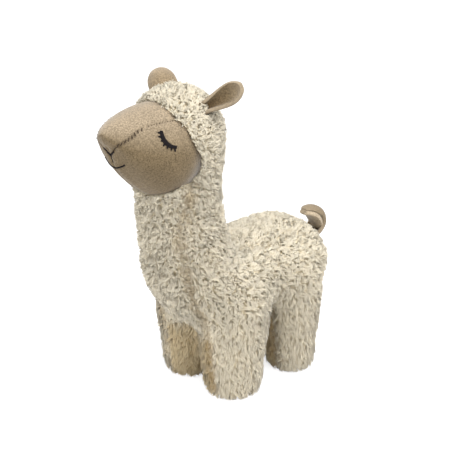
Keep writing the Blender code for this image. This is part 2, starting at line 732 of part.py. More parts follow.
def main():
    clear_scene()
    soft = soft_body()
    body = layer(soft, 0, "body")
    face = face_form()

    lining = layer(soft, FLEECE, "lining")
    face_room = offset_form(face, SEAM_GAP, "face_room")
    fleece_shell = combined(combined(body, lining, "DIFFERENCE"), face_room, "DIFFERENCE")

    face_lining = offset_form(face, -FACE_CLOTH, "face_lining")
    face_shell = combined(combined(face, face_lining, "DIFFERENCE"), lining, "DIFFERENCE")

    fill_body = offset_form(lining, -SEAM_GAP, "fill_body")
    fill_face = offset_form(face, -FACE_CLOTH - SEAM_GAP, "fill_face")
    filling = combined(combined(fill_body, fill_face, "UNION"), squeaker_pocket(), "DIFFERENCE")

    pieces = []
    for side, word in ((1, "left"), (-1, "right")):
        leaf = combined(ear(side), lining, "DIFFERENCE")
        fleece_shell = combined(fleece_shell, offset_form(leaf, SEAM_GAP, "ear_room"), "DIFFERENCE")
        pieces.append(finished(leaf, word + "_ear", CLOTH_COLOUR, 0.9))
        pieces.append(finished(eye(face, side), word + "_eye_stitches", THREAD_COLOUR, 0.5))
        pieces.append(finished(seam_stitches(face, side), word + "_seam_stitches", THREAD_COLOUR, 0.5))
    tab = combined(tail(), lining, "DIFFERENCE")
    fleece_shell = combined(fleece_shell, offset_form(tab, SEAM_GAP, "tail_room"), "DIFFERENCE")
    pieces.append(finished(tab, "tail", CLOTH_COLOUR, 0.9))

    belly = combined(fleece_shell, belly_block(0), "INTERSECT")
    chest = combined(fleece_shell, chest_block(0), "INTERSECT")
    rest = combined(fleece_shell, belly_block(SEAM_GAP), "DIFFERENCE")
    rest = combined(rest, chest_block(SEAM_GAP), "DIFFERENCE")
    pieces.append(finished(belly, "belly_fleece", FLEECE_COLOUR, 0.95))
    pieces.append(finished(chest, "chest_fleece", FLEECE_COLOUR, 0.95))
    bridge = combined(face_shell, bridge_block(0), "INTERSECT")
    cheeks = combined(face_shell, bridge_block(SEAM_GAP), "DIFFERENCE")
    pieces.append(finished(bridge, "bridge_cloth", CLOTH_COLOUR, 0.9))
    for side, word in ((1, "left"), (-1, "right")):
        half = combined(rest, half_block(side), "INTERSECT")
        pieces.append(finished(half, word + "_side_fleece", FLEECE_COLOUR, 0.95))
        cheek = combined(cheeks, half_block(side), "INTERSECT")
        pieces.append(finished(cheek, word + "_cheek_cloth", CLOTH_COLOUR, 0.9))

    pieces.append(finished(nose(face), "nose_stitches", THREAD_COLOUR, 0.5))
    pieces.append(finished(mouth(face), "mouth_stitches", THREAD_COLOUR, 0.5))
    pieces.append(finished(closing_stitches(body), "closing_stitches", CLOSING_COLOUR, 0.8))
    pieces.append(finished(filling, "filling", FIBRE_COLOUR, 1.0))
    pieces.append(finished(squeaker_bulb(), "squeaker_bulb", BULB_COLOUR, 0.4))
    pieces.append(finished(squeaker_reed(), "squeaker_reed", REED_COLOUR, 0.4))

    for obj in list(bpy.data.objects):
        if obj not in pieces:
            bpy.data.objects.remove(obj)
    for piece in pieces:
        piece.name = piece.data.materials[0].name
    centred(pieces)


main()
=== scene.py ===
"""How the stuffed llama looks: pile fleece, a velour face, ears and tail, embroidery, on a white floor.

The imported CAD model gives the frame. Lengths are metres, +Z is up and the llama faces -Y. Places below are
measured from a point between the legs, as in the CAD source, and moved to the frame at the end.
"""

import math

import bmesh
import bpy
import numpy as np
from mathutils import Matrix, Vector, noise as solid_noise
from mathutils.bvhtree import BVHTree
from mathutils.kdtree import KDTree


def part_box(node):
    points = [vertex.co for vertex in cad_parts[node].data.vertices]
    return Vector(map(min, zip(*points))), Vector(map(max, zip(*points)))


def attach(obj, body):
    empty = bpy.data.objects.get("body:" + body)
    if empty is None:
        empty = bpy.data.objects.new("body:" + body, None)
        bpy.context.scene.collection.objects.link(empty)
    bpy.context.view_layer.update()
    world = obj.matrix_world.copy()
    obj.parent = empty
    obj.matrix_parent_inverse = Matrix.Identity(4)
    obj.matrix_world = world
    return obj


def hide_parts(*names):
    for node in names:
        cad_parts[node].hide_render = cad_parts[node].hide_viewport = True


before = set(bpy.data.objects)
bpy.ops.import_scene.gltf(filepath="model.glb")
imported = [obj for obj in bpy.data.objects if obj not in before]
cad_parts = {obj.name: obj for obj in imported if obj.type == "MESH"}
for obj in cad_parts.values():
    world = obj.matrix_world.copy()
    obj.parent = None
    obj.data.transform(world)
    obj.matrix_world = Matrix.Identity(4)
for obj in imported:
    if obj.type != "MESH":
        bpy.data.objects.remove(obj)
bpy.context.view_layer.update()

# The CAD's own centring is read back from the squeaker, which the source puts at this Y
SQUEAKER_Y = 0.0120
low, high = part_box("squeaker_bulb")
SHIFT = Vector((0, (low.y + high.y) / 2 - SQUEAKER_Y, 0))

# The soft body, the same tubes as in the CAD source
LEG_SPREAD = 0.0275
FRONT_LEG = (-0.0240, 0.0258, 0.0262)  # Y, half width, half depth
HIND_LEG = (0.0425, 0.0240, 0.0225)
LEG_GROWTH = 1.24
LEG_TOP_Z = 0.078
SHOULDER_CAP = 0.036
FOOT_ROUNDING = 0.014
SOLE_SHARE = 0.86
TRUNK_HALF_WIDTH = 0.0500
CHEST = (-0.0455, 0.0950, 0.0345, 0.021)  # Y, Z, half height, how far the round end reaches
RUMP = (0.0560, 0.0965, 0.0330, 0.031)
WAIST_TAKEN_IN = 0.004
NECK = (  # Y, Z, half width, half depth
    (-0.0330, 0.0780, 0.0490, 0.0270),
    (-0.0495, 0.1150, 0.0440, 0.0340),
    (-0.0580, 0.1690, 0.0348, 0.0348),
    (-0.0590, 0.2270, 0.0398, 0.0380),
)
CROWN_CAP = 0.0415
REMESH_VOXEL = 0.0036
PILE = 0.0038  # the backing lies this far below the tips of the pile
SOLE_Z = 0.002
SMOOTHING_LOSS = 0.0008  # what rounding off the joined tubes takes from their size
STUFFING_PRESSURE = 4
STUFFING_FRAMES = 20
BODY_SWELLING = 0.0007  # what the stuffing adds to the backing
FACE_SWELLING = 0.0008
FILLING_ROOM = 0.0003  # between the covers and the fibre in them
FILLING_PUSH = 0.0008  # the covers give way to the fibre by this at most
SEAM_WIDTH = 0.0042
FULLNESS_WIDTH = 0.0095  # the cover is fuller beside its seams, out to about here
FOLD_HEIGHT = 0.0009
FURROW_DEPTH = 0.0034
FULLNESS = 0.0012
DEEPEST_FURROW = 0.0015  # below this the fibre would show

# The face, a blunt cone along its own axis
FACE_SEAT = Vector((0, -0.0790, 0.2205))
FACE_TILT = math.radians(17)
AHEAD = Vector((0, -math.cos(FACE_TILT), math.sin(FACE_TILT)))
UP = Vector((0, math.sin(FACE_TILT), math.cos(FACE_TILT)))
FACE_RADIUS = 0.0362
FACE_LENGTH = 0.0555
FACE_FULLNESS = 2.0
FACE_BLUNTNESS = 0.70
FACE_ROOT = 0.024
NOSE_LIFT = 0.0065
MUZZLE_SLIMMING = 0.33  # below the face's axis
BRIDGE_SLIMMING = 0.20  # above it
KEEL_SHARPNESS = 1.15  # nearer 1 gives the jaw a sharper edge along the chin's seam
CHIN_TAKEN_UP = 0.085  # the jaw loses this share of its depth
LIP_TAKEN_UP = 1.75  # how fast it loses more, ahead of the mouth
MOUTH_SHARE = 0.68  # the mouth is this far along the face
LIP_LIMIT = 0.27
CHIN_SHARE = 0.4  # the jaw has its full form from here on, and its full keel from the next share on
KEEL_SHARE = 0.55
FACE_SIDES = 144
FACE_RINGS = 64
RING_CROWDING = 1.6  # rings lie closer together towards the nose
FACE_SEAM_DEPTH = 0.0011
FACE_SEAM_WIDTH = 0.0010
PUCKER_DEPTH = 0.0004
PUCKER_WIDTH = 0.0024
PUCKER_PITCH = 0.0042
PANEL_FULLNESS = (0.00035, 0.0055, 0.0035)  # beside a seam: height, distance from it, width

# Seams, as points (across, up) on the face and (x, y, z) on the fleece's left side
BRIDGE_SEAM = (
    (0.0, -0.0089), (0.0083, -0.0025), (0.0150, 0.0030), (0.0182, 0.0090), (0.0186, 0.0150), (0.0200, 0.0200),
    (0.0222, 0.0235), (0.0232, 0.0270), (0.0235, 0.0310),
)
CHEST_SEAM = (
    (0.0325, -0.0710, 0.196), (0.0310, -0.0745, 0.182), (0.0275, -0.0800, 0.157), (0.0285, -0.0775, 0.133),
    (0.0300, -0.0740, 0.113), (0.0300, -0.0695, 0.098), (0.0295, -0.0620, 0.080), (0.0290, -0.0560, 0.060),
    (0.0285, -0.0530, 0.035), (0.0280, -0.0500, 0.010),
)
HIND_SEAM = (
    (0.0285, 0.0120, 0.062), (0.0285, 0.0155, 0.045), (0.0285, 0.0180, 0.025), (0.0285, 0.0205, 0.008),
)
BELLY_SEAM_X = 0.0285
CROTCH_Z = 0.0550

# Embroidery, (along, up) on a cheek and (across, up) on the muzzle's end
EYE_ARC = (
    (0.0222, 0.0178), (0.0219, 0.0138), (0.0202, 0.0107),
    (0.0171, 0.0087), (0.0138, 0.0081), (0.0109, 0.0082),
)
EYE_STITCHES = 34
EYE_STITCH = (0.0038, 0.00068)  # length, thickness
LASHES = 7
LASH = (0.0017, 0.00062)
LASH_THREADS = (-0.00035, 0.0, 0.00035)  # places of its three threads across it
NOSE_CENTRE = (0.0, -0.0089)
NOSE_ARM = (0.0064, -0.0044)
NOSE_STEM = (0.0, -0.0142)
MOUTH = (
    (-0.0124, -0.0126), (-0.0092, -0.0145), (-0.0050, -0.0165), (0.0, -0.0178),
    (0.0050, -0.0165), (0.0092, -0.0145), (0.0124, -0.0126),
)

# Pile. Each pair is the size on the body and how much more it is on the legs.
LOCKS = 85000
CLUMP_AREA = 0.0000090
MARKS = (0.0, 0.52, 1.0)  # the lock's bends, as shares of its length
OWN_NORMAL = 0.15  # a lock is shaded by its own roundness by this share, and else as the body below it
LOCK_REACH = (0.0028, 0.0036)  # along the cloth
HEAD_REACH_LOSS = 0.0004
LOCK_RISE = (0.0050, -0.0012)
LOCK_CURL = (0.0017, -0.0008)
LOCK_ROOT = 0.0007  # it starts this far inside the backing
LOCK_PROFILE = (0.8, 1.0, 0.0)  # thickness at its marks
LOCK_HALF_THICKNESS = (0.00031, 0.00053)
LOWEST_PILE = 0.0003
FACE_CLEARANCE = 0.0005

# Ears, for the left side; the right ear is mirrored and turns its back to the camera
EAR_SHARES = (-0.25, 0.0, 0.20, 0.45, 0.68, 0.85, 0.96, 1.0)
EAR_BOW = (0.0, 0.0, 0.0008, 0.0014, 0.0010, 0.0, -0.0016, -0.0024)
EAR_THICKNESS = 0.0030
EARS = {
    1: {
        "name": "left_ear_cloth", "root": (0.0270, -0.0500, 0.2525), "lean": (0.70, 0.46, 0.56),
        "hollow": (0.22, -0.85, 0.42), "length": 0.0330,
        "widths": (0.0066, 0.0072, 0.0084, 0.0098, 0.0100, 0.0082, 0.0050, 0.0026),
        "cups": (1.9, 1.8, 1.5, 1.15, 0.90, 0.70, 0.5, 0.4),
    },
    -1: {
        "name": "right_ear_cloth", "root": (0.0237, -0.0482, 0.2520), "lean": (0.80, 0.32, 0.51),
        "hollow": (0.60, 0.54, -0.66), "length": 0.0295,
        "widths": (0.0128, 0.0140, 0.0146, 0.0146, 0.0138, 0.0116, 0.0078, 0.0046),
        "cups": (1.6, 1.5, 1.4, 1.3, 1.2, 1.0, 0.7, 0.5),
    },
}

rng = np.random.default_rng(7)


# Mesh tools
def new_object(name, bm):
    mesh = bpy.data.meshes.new(name)
    bm.to_mesh(mesh)
    bm.free()
    made = bpy.data.objects.new(name, mesh)
    bpy.context.scene.collection.objects.link(made)
    return made


def baked(obj):
    """Replaces the object's mesh by what its modifiers make of it."""
    bpy.context.view_layer.update()
    graph = bpy.context.evaluated_depsgraph_get()
    mesh = bpy.data.meshes.new_from_object(obj.evaluated_get(graph))
    obj.modifiers.clear()
    obj.data = mesh
    return obj


def at(x, y, z):
    return Vector((x, y, z))


def smooth_between(a, b, c, d, share):
    """A point between b and c on the smooth curve through all four."""
    return 0.5 * (
        2 * b
        + (c - a) * share
        + (2 * a - 5 * b + 4 * c - d) * share**2
        + (3 * b - a - 3 * c + d) * share**3
    )


def filled_in(stations, steps=4):
    """Stations with smooth ones between them."""
    out = []
    last = len(stations) - 1
    for i in range(last):
        four = [stations[min(max(k, 0), last)] for k in (i - 1, i, i + 1, i + 2)]
        for step in range(steps):
            out.append(tuple(smooth_between(*part, step / steps) for part in zip(*four)))
    return out + [stations[last]]


def smooth_line(points, steps=8):
    return [p for (p,) in filled_in([(Vector(p),) for p in points], steps)]


def dome(end, neighbour, cap, steps=5):
    """Rings that round off a tube's end."""
    centre, half_width, half_depth = end
    out = (centre - neighbour[0]).normalized()
    angles = [math.radians(85) * (k + 1) / steps for k in range(steps)]
    return [
        (centre + out * cap * math.sin(t), half_width * math.cos(t), half_depth * math.cos(t))
        for t in angles
    ]


def ring(bm, sides, radius, place):
    """The edges of a new circle."""
    made = bmesh.ops.create_circle(bm, segments=sides, radius=radius, matrix=place)
    return list({e for v in made["verts"] for e in v.link_edges})


def joined(bm, rings):
    """Makes a closed tube of its rings."""
    for before, after in zip(rings, rings[1:]):
        bmesh.ops.bridge_loops(bm, edges=before + after)
    for end in (rings[0], rings[-1]):
        bmesh.ops.contextual_create(bm, geom=end)
    bmesh.ops.recalc_face_normals(bm, faces=bm.faces)


def add_tube(bm, stations, sides=28):
    """A closed tube through its stations; its line stays in a plane of constant X."""
    across = Vector((1, 0, 0))
    rings = []
    for i, (centre, half_width, half_depth) in enumerate(stations):
        along = stations[min(i + 1, len(stations) - 1)][0] - stations[max(i - 1, 0)][0]
        along.normalize()
        deep = along.cross(across)
        turn = Matrix((across * half_width, deep * half_depth, along)).transposed().to_4x4()
        rings.append(ring(bm, sides, 1, Matrix.Translation(centre) @ turn))
    joined(bm, rings)


def points_of(mesh):
    co = np.empty(len(mesh.vertices) * 3)
    mesh.vertices.foreach_get("co", co)
    return co.reshape(-1, 3)


def normals_of(mesh):
    n = np.empty(len(mesh.vertices) * 3)
    mesh.vertex_normals.foreach_get("vector", n)
    return n.reshape(-1, 3)


def put_points(mesh, co):
    mesh.vertices.foreach_set("co", np.ascontiguousarray(co, dtype=np.float32).ravel())
    mesh.update()


def marked(mesh, name, values):
    """Keeps a value for each point, for the materials."""
    mesh.attributes.new(name, "FLOAT", "POINT").data.foreach_set("value", values.astype(np.float32))


def distance_to_line(points, line):
    """(distance, share along) of each point to a line of 3-D points."""
    line = np.array([tuple(p) for p in line])
    best = np.full(len(points), 1e9)
    share = np.zeros(len(points))
    for i, (a, b) in enumerate(zip(line, line[1:])):
        ab = b - a
        t = np.clip(((points - a) @ ab) / (ab @ ab), 0, 1)
        d = np.linalg.norm(points - a - t[:, None] * ab, axis=1)
        nearer = d < best
        best[nearer] = d[nearer]
        share[nearer] = (i + t[nearer]) / (len(line) - 1)
    return best, share


def smoothstep(low_end, high_end, value):
    t = np.clip((value - low_end) / (high_end - low_end), 0, 1)
    return t * t * (3 - 2 * t)


def unit(v):
    return v / np.maximum(np.linalg.norm(v, axis=-1, keepdims=True), 1e-12)


def smooth(obj):
    obj.data.shade_smooth()
    return obj


# Fleece backing
def leg_stations(x, y, half_width, half_depth):
    shares = ((-0.35, SOLE_SHARE * 0.8), (0.0, SOLE_SHARE), (0.4, 0.955), (1.0, 1.0))
    foot = [(at(x, y, FOOT_ROUNDING * z), half_width * s, half_depth * s) for z, s in shares]
    top = (at(x, y, LEG_TOP_Z), half_width * LEG_GROWTH, half_depth * LEG_GROWTH)
    return foot + filled_in([foot[-1], top])[1:] + dome(top, foot[-1], SHOULDER_CAP)


def trunk_stations():
    chest = (at(0, *CHEST[:2]), TRUNK_HALF_WIDTH, CHEST[2])
    rump = (at(0, *RUMP[:2]), TRUNK_HALF_WIDTH, RUMP[2])
    middle = (chest[0] + rump[0]) / 2
    waist = (middle, TRUNK_HALF_WIDTH - WAIST_TAKEN_IN, (CHEST[2] + RUMP[2]) / 2)
    rings = filled_in([chest, waist, rump])
    return dome(chest, waist, CHEST[3])[::-1] + rings + dome(rump, waist, RUMP[3])


def neck_stations():
    rings = [(at(0, y, z), half_width, half_depth) for y, z, half_width, half_depth in NECK]
    return filled_in(rings) + dome(rings[-1], rings[-2], CROWN_CAP)


def stuffed(obj, cap):
    """Blows up a closed cover with Blender's Cloth, and no point of it moves further than cap."""
    before = points_of(obj.data)
    cloth = obj.modifiers.new("stuffing", "CLOTH")
    cloth.settings.use_pressure = True
    cloth.settings.uniform_pressure_force = STUFFING_PRESSURE
    cloth.settings.effector_weights.gravity = 0
    cloth.collision_settings.use_collision = False
    cloth.point_cache.frame_start, cloth.point_cache.frame_end = 1, STUFFING_FRAMES
    for k in range(STUFFING_FRAMES):
        bpy.context.scene.frame_set(k + 1)
    baked(obj)
    bpy.context.scene.frame_set(1)
    move = points_of(obj.data) - before
    far = np.linalg.norm(move, axis=1, keepdims=True)
    put_points(obj.data, before + move * np.minimum(1, cap / np.maximum(far, 1e-9)))
    return obj


def soft_body():
    """The cloth below the pile, closed over the head."""
    bm = bmesh.new()
    for side in (1, -1):
        for leg in (FRONT_LEG, HIND_LEG):
            add_tube(bm, leg_stations(side * LEG_SPREAD, *leg))
    add_tube(bm, trunk_stations())
    add_tube(bm, neck_stations())
    form = new_object("fleece_backing", bm)
    remesh = form.modifiers.new("union", "REMESH")
    remesh.mode = "VOXEL"
    remesh.voxel_size = REMESH_VOXEL
    soften = form.modifiers.new("soften", "SMOOTH")
    soften.factor = 0.5
    soften.iterations = 22
    restore = form.modifiers.new("restore", "DISPLACE")
    restore.strength = SMOOTHING_LOSS - PILE - BODY_SWELLING
    restore.mid_level = 0
    baked(form)
    bm = bmesh.new()
    bm.from_mesh(form.data)
    bmesh.ops.bisect_plane(
        bm, geom=bm.verts[:] + bm.edges[:] + bm.faces[:], plane_co=(0, 0, SOLE_Z),
        plane_no=(0, 0, -1), clear_outer=True,
    )
    bmesh.ops.holes_fill(bm, edges=[e for e in bm.edges if e.is_boundary])
    bmesh.ops.recalc_face_normals(bm, faces=bm.faces)
    bm.to_mesh(form.data)
    bm.free()
    stuffed(form, BODY_SWELLING * 2)
    co = points_of(form.data)
    co[:, 2] = np.maximum(co[:, 2], SOLE_Z)
    put_points(form.data, co)
    finer = form.modifiers.new("finer", "SUBSURF")
    finer.levels = finer.render_levels = 1
    return smooth(baked(form))


def kept_off(form, tree):
    """Moves out the points that are too near to the filling, which the tree holds."""
    co = points_of(form.data)
    for i, point in enumerate(co):
        spot, normal, _, _ = tree.find_nearest(Vector(point))
        gap = (Vector(point) - spot).dot(normal)
        if gap < FILLING_ROOM:
            co[i] += np.array(normal) * min(FILLING_ROOM - gap, FILLING_PUSH)
    put_points(form.data, co)
    return form


def filling_tree():
    """The CAD's filling, in the drawing's coordinates."""
    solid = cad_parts["filling"]
    points = [solid.matrix_world @ v.co - SHIFT for v in solid.data.vertices]
    return BVHTree.FromPolygons(points, [tuple(f.vertices) for f in solid.data.polygons])


def mirrored(line):
    return [(-x, y, z) for x, y, z in line]


SEAMS = [smooth_line(q) for q in (CHEST_SEAM, mirrored(CHEST_SEAM), HIND_SEAM, mirrored(HIND_SEAM))]


def seam_depth(points, normals, width=SEAM_WIDTH):
    """1 on the backing below a fleece seam, falling to 0 a few millimetres away."""
    depth = np.zeros(len(points))
    for line in SEAMS:
        away, _ = distance_to_line(points + normals * PILE, line)
        depth = np.maximum(depth, np.exp(-((away / width) ** 2)))
    return depth


def furrowed(form):
    """Pulls the backing in along the seams and gives it the soft folds of a filled cover."""
    co, n = points_of(form.data), normals_of(form.data)
    folds = np.array([
        solid_noise.noise(Vector(p) * 48) + 0.5 * solid_noise.noise(Vector(p) * 110) for p in co
    ])
    folds *= smoothstep(0.002, 0.012, co[:, 2])
    seam = seam_depth(co, n)
    beside = seam_depth(co, n, FULLNESS_WIDTH) - seam
    push = np.maximum(FOLD_HEIGHT * folds - FURROW_DEPTH * seam + FULLNESS * beside, -DEEPEST_FURROW)
    put_points(form.data, co + n * push[:, None])
    return form


# Pile locks
def lock_template():
    """A three-sided lock along Z from 0 to 1, a ring at each bend and one tip, bent later."""
    bm = bmesh.new()
    rings = [ring(bm, 3, 1, Matrix.Translation((0, 0, z))) for z in MARKS[:-1]]
    for before, after in zip(rings, rings[1:]):
        bmesh.ops.bridge_loops(bm, edges=before + after)
    bmesh.ops.contextual_create(bm, geom=rings[0])
    cone = bmesh.ops.extrude_edge_only(bm, edges=rings[-1])
    tip = [v for v in cone["geom"] if isinstance(v, bmesh.types.BMVert)]
    for v in tip:
        v.co = (0, 0, 1)
    bmesh.ops.remove_doubles(bm, verts=bm.verts, dist=0.0001)
    bmesh.ops.triangulate(bm, faces=bm.faces)
    bmesh.ops.recalc_face_normals(bm, faces=bm.faces)
    bm.verts.index_update()
    co = np.array([tuple(v.co) for v in bm.verts])
    faces = np.array([[v.index for v in f.verts] for f in bm.faces])
    bm.free()
    return co, faces


def density_of(p, n):
    """More locks where they are seen closely, on the hood and neck, and fewer on the legs and soles."""
    dense = 0.62 + 0.50 * smoothstep(0.055, 0.095, p[:, 2]) + 0.45 * smoothstep(0.150, 0.215, p[:, 2])
    return dense * np.where((n[:, 2] < -0.7) & (p[:, 2] < 0.006), 0.3, 1.0)


def scattered(mesh, count):
    """Points spread over a mesh, with their normals."""
    mesh.calc_loop_triangles()
    tri = np.empty(len(mesh.loop_triangles) * 3, np.int32)
    mesh.loop_triangles.foreach_get("vertices", tri)
    tri = tri.reshape(-1, 3)
    co, n = points_of(mesh), normals_of(mesh)
    a, b, c = co[tri[:, 0]], co[tri[:, 1]], co[tri[:, 2]]
    area = np.linalg.norm(np.cross(b - a, c - a), axis=1) / 2
    reach = np.cumsum(area * density_of((a + b + c) / 3, n[tri[:, 0]]))
    place = (np.arange(count) + rng.random(count)) / count * reach[-1]
    pick = np.minimum(np.searchsorted(reach, place), len(tri) - 1)
    u, v = rng.random(count), rng.random(count)
    flip = u + v > 1
    u[flip], v[flip] = 1 - u[flip], 1 - v[flip]
    w = 1 - u - v
    t = tri[pick]
    weights = (w[:, None], u[:, None], v[:, None])
    spot = sum(co[t[:, i]] * weights[i] for i in range(3))
    normal = unit(sum(n[t[:, i]] * weights[i] for i in range(3)))
    return spot, normal, area.sum()


def lie_of(p, n):
    """The direction in which the pile is stroked at each point, along the surface."""
    down = np.tile([0.0, 0.0, -1.0], (len(p), 1))
    back = np.tile([0.0, 1.0, 0.0], (len(p), 1))
    out = np.stack([np.sign(p[:, 0]), np.zeros(len(p)), np.zeros(len(p))], axis=1)
    head = smoothstep(0.195, 0.235, p[:, 2])[:, None]
    trunk = (smoothstep(-0.045, 0.0, p[:, 1]) * smoothstep(0.075, 0.105, p[:, 2]))[:, None]
    want = down * (1 - head) + back * (0.9 * head + 0.45 * trunk) + out * 0.15
    want = want - n * np.sum(want * n, axis=1, keepdims=True)
    return unit(want + 1e-6)


def parted(p):
    """Away from the nearest seam, sideways, and strongest close to it."""
    sideways = np.zeros(len(p))
    for line in SEAMS:
        away, _ = distance_to_line(p, line)
        middle = np.interp(p[:, 2], *zip(*sorted((q[2], q[0]) for q in line)))
        sideways += np.sign(p[:, 0] - middle) * np.exp(-((away / SEAM_WIDTH) ** 2))
    return np.stack([sideways, np.zeros(len(p)), np.zeros(len(p))], axis=1)


def nearest(points, centres):
    tree = KDTree(len(centres))
    for i, c in enumerate(centres):
        tree.insert(c, i)
    tree.balance()
    return np.array([tree.find(p)[1] for p in points])


def turned(v, n, angle):
    """v, which is at right angles to n, turned about n."""
    return v * np.cos(angle)[:, None] + np.cross(n, v) * np.sin(angle)[:, None]


def underside_shade_of(p):
    """Painted shade: 1 on the underside panel and the inner legs, which lie in warm shade, so they are
    painted a darker tan.
    """
    inside = 1 - smoothstep(BELLY_SEAM_X - 0.0035, BELLY_SEAM_X + 0.001, np.abs(p[:, 0]))
    low_down = 1 - smoothstep(CROTCH_Z - 0.004, CROTCH_Z + 0.010, p[:, 2])
    behind = 1 - smoothstep(0.085, 0.10, p[:, 1])
    return inside * low_down * behind


def pile_paths(skin, face_tree):
    """Every lock's line, thickness and colour values."""
    p, n, area = scattered(skin, LOCKS)
    centres, centre_n, _ = scattered(skin, int(area / CLUMP_AREA))
    group = nearest(p, centres)
    leg = 1 - smoothstep(0.060, 0.100, p[:, 2])
    head = smoothstep(0.185, 0.215, p[:, 2])
    depth = seam_depth(p, n)
    parting = parted(p + n * PILE)

    lie = lie_of(p, n)
    group_turn = (rng.random(len(centres)) - 0.5) * 2
    wild = 1.9 - 1.25 * leg
    lie = turned(lie, n, group_turn[group] * wild + rng.normal(0, 0.35, len(p)))
    combed = rng.uniform(0.15, 1.0, len(p))
    lie = unit(lie * (1 - depth * combed)[:, None] + parting * 1.3 * combed[:, None])
    group_lie = turned(lie_of(centres, centre_n), centre_n, group_turn * np.interp(
        centres[:, 2], (0.06, 0.10), (0.65, 1.9)))

    reach = LOCK_REACH[0] + LOCK_REACH[1] * leg - HEAD_REACH_LOSS * head
    reach = reach * rng.uniform(0.7, 1.3, len(p)) * (1 - 0.35 * depth)
    rise = (LOCK_RISE[0] + LOCK_RISE[1] * leg) * rng.uniform(0.75, 1.12, len(p)) * (1 - 0.60 * depth)
    size = rng.uniform(0.82, 1.18, len(centres))[group]
    curl = (LOCK_CURL[0] + LOCK_CURL[1] * leg) * rng.uniform(0.5, 1.3, len(p))
    phase = rng.random(len(centres))[group] * 2 * math.pi + rng.normal(0, 0.9, len(p))
    sense = np.where(rng.random(len(centres)) < 0.5, -1, 1)[group]
    pull = rng.uniform(0.15, 0.65, len(p)) + 0.1 * leg

    side = np.cross(n, lie)
    lines = []
    for t in MARKS:
        up = rise * size * (1 - (1 - t) ** 2)
        along = reach * size * t**1.5
        here = p - n * LOCK_ROOT + n * up[:, None] + lie * along[:, None]
        middle = centres[group] + centre_n[group] * up[:, None] + group_lie[group] * along[:, None]
        here += (middle - here) * (pull * t)[:, None]
        angle = phase + sense * 2.6 * t
        swing = (lie * np.cos(angle)[:, None] + side * np.sin(angle)[:, None]) * (curl * t)[:, None]
        lines.append(here + swing)
    lines = np.stack(lines, axis=1)

    near = (p[:, 1] < -0.060) & (p[:, 2] > 0.165)
    keep = np.ones(len(p), bool)
    for i in np.nonzero(near)[0]:
        spot, normal, _, _ = face_tree.find_nearest(Vector(p[i]))
        if (Vector(p[i]) - spot).dot(normal) < -FACE_CLEARANCE:
            keep[i] = False
            continue
        for k in range(1, len(MARKS)):
            point = Vector(lines[i, k])
            spot, normal, _, _ = face_tree.find_nearest(point)
            if (point - spot).dot(normal) < FACE_CLEARANCE * 0.8:
                lines[i, k] = spot + normal * FACE_CLEARANCE
    lines[:, :, 2] = np.maximum(lines[:, :, 2], LOWEST_PILE)
    thick = rng.uniform(*LOCK_HALF_THICKNESS, len(p)) * (1 + 0.10 * leg)
    # a random tone per lock and per clump, with painted shade on the upward-facing top of the hood
    tone_and_top_shade = 0.5 - 0.5 * head * np.clip(n[:, 2], 0, 1) + rng.normal(0, 0.16, len(p))
    tone_and_top_shade = np.clip(tone_and_top_shade + rng.normal(0, 0.14, len(centres))[group], 0, 1)
    values = {
        "lines": lines, "normals": n, "thick": thick, "tone_and_top_shade": tone_and_top_shade,
        # painted warm shade on the underside and inner legs, and a little over all of the legs
        "underside_shade": np.maximum(underside_shade_of(p), 0.12 * leg), "seam": depth, "root": p,
    }
    return {key: value[keep] for key, value in values.items()}


def pile_object(name, paths, template):
    """One mesh of locks, each the template bent along its line."""
    shape, faces = template
    lines, thick = paths["lines"], paths["thick"]
    marks = np.array(MARKS)
    level = np.array([int(np.argmin(np.abs(marks - z))) for z in shape[:, 2]])
    step = unit(np.gradient(lines, axis=1))
    side = unit(np.cross(step, paths["normals"][:, None, :]) + 1e-7)
    over = np.cross(step, side)
    count, each = len(lines), len(shape)
    co = np.empty((count, each, 3))
    soft = np.empty((count, each, 3))
    for k in range(each):
        j = level[k]
        spread = (thick * LOCK_PROFILE[j])[:, None]
        round_it = side[:, j] * shape[k, 0] * 1.15 + over[:, j] * shape[k, 1] * 0.85
        co[:, k] = lines[:, j] + round_it * spread
        own = unit(round_it + step[:, j] * (j == len(marks) - 1))
        soft[:, k] = own * OWN_NORMAL + paths["normals"] * (1 - OWN_NORMAL)
    index = (faces[None] + (np.arange(count) * each)[:, None, None]).reshape(-1, 3)
    mesh = bpy.data.meshes.new(name)
    mesh.vertices.add(count * each)
    mesh.vertices.foreach_set("co", co.astype(np.float32).ravel())
    mesh.loops.add(len(index) * 3)
    mesh.loops.foreach_set("vertex_index", index.astype(np.int32).ravel())
    mesh.polygons.add(len(index))
    mesh.polygons.foreach_set("loop_start", np.arange(0, len(index) * 3, 3, dtype=np.int32))
    mesh.update(calc_edges=True)
    marked(mesh, "tip", np.tile(marks[level], count))
    for key in ("tone_and_top_shade", "underside_shade", "seam"):
        marked(mesh, key, np.repeat(paths[key], each))
    mesh.shade_smooth()
    mesh.normals_split_custom_set_from_vertices(unit(soft.reshape(-1, 3)))
    made = bpy.data.objects.new(name, mesh)
    bpy.context.scene.collection.objects.link(made)
    return made


def part_of(paths, chosen):
    return {key: value[chosen] for key, value in paths.items()}


# Face
def face_share(point):
    """How far along the face's axis a point is, and how far above it, in metres."""
    offset = point - FACE_SEAT
    return offset.dot(AHEAD) / FACE_LENGTH, offset.dot(UP)


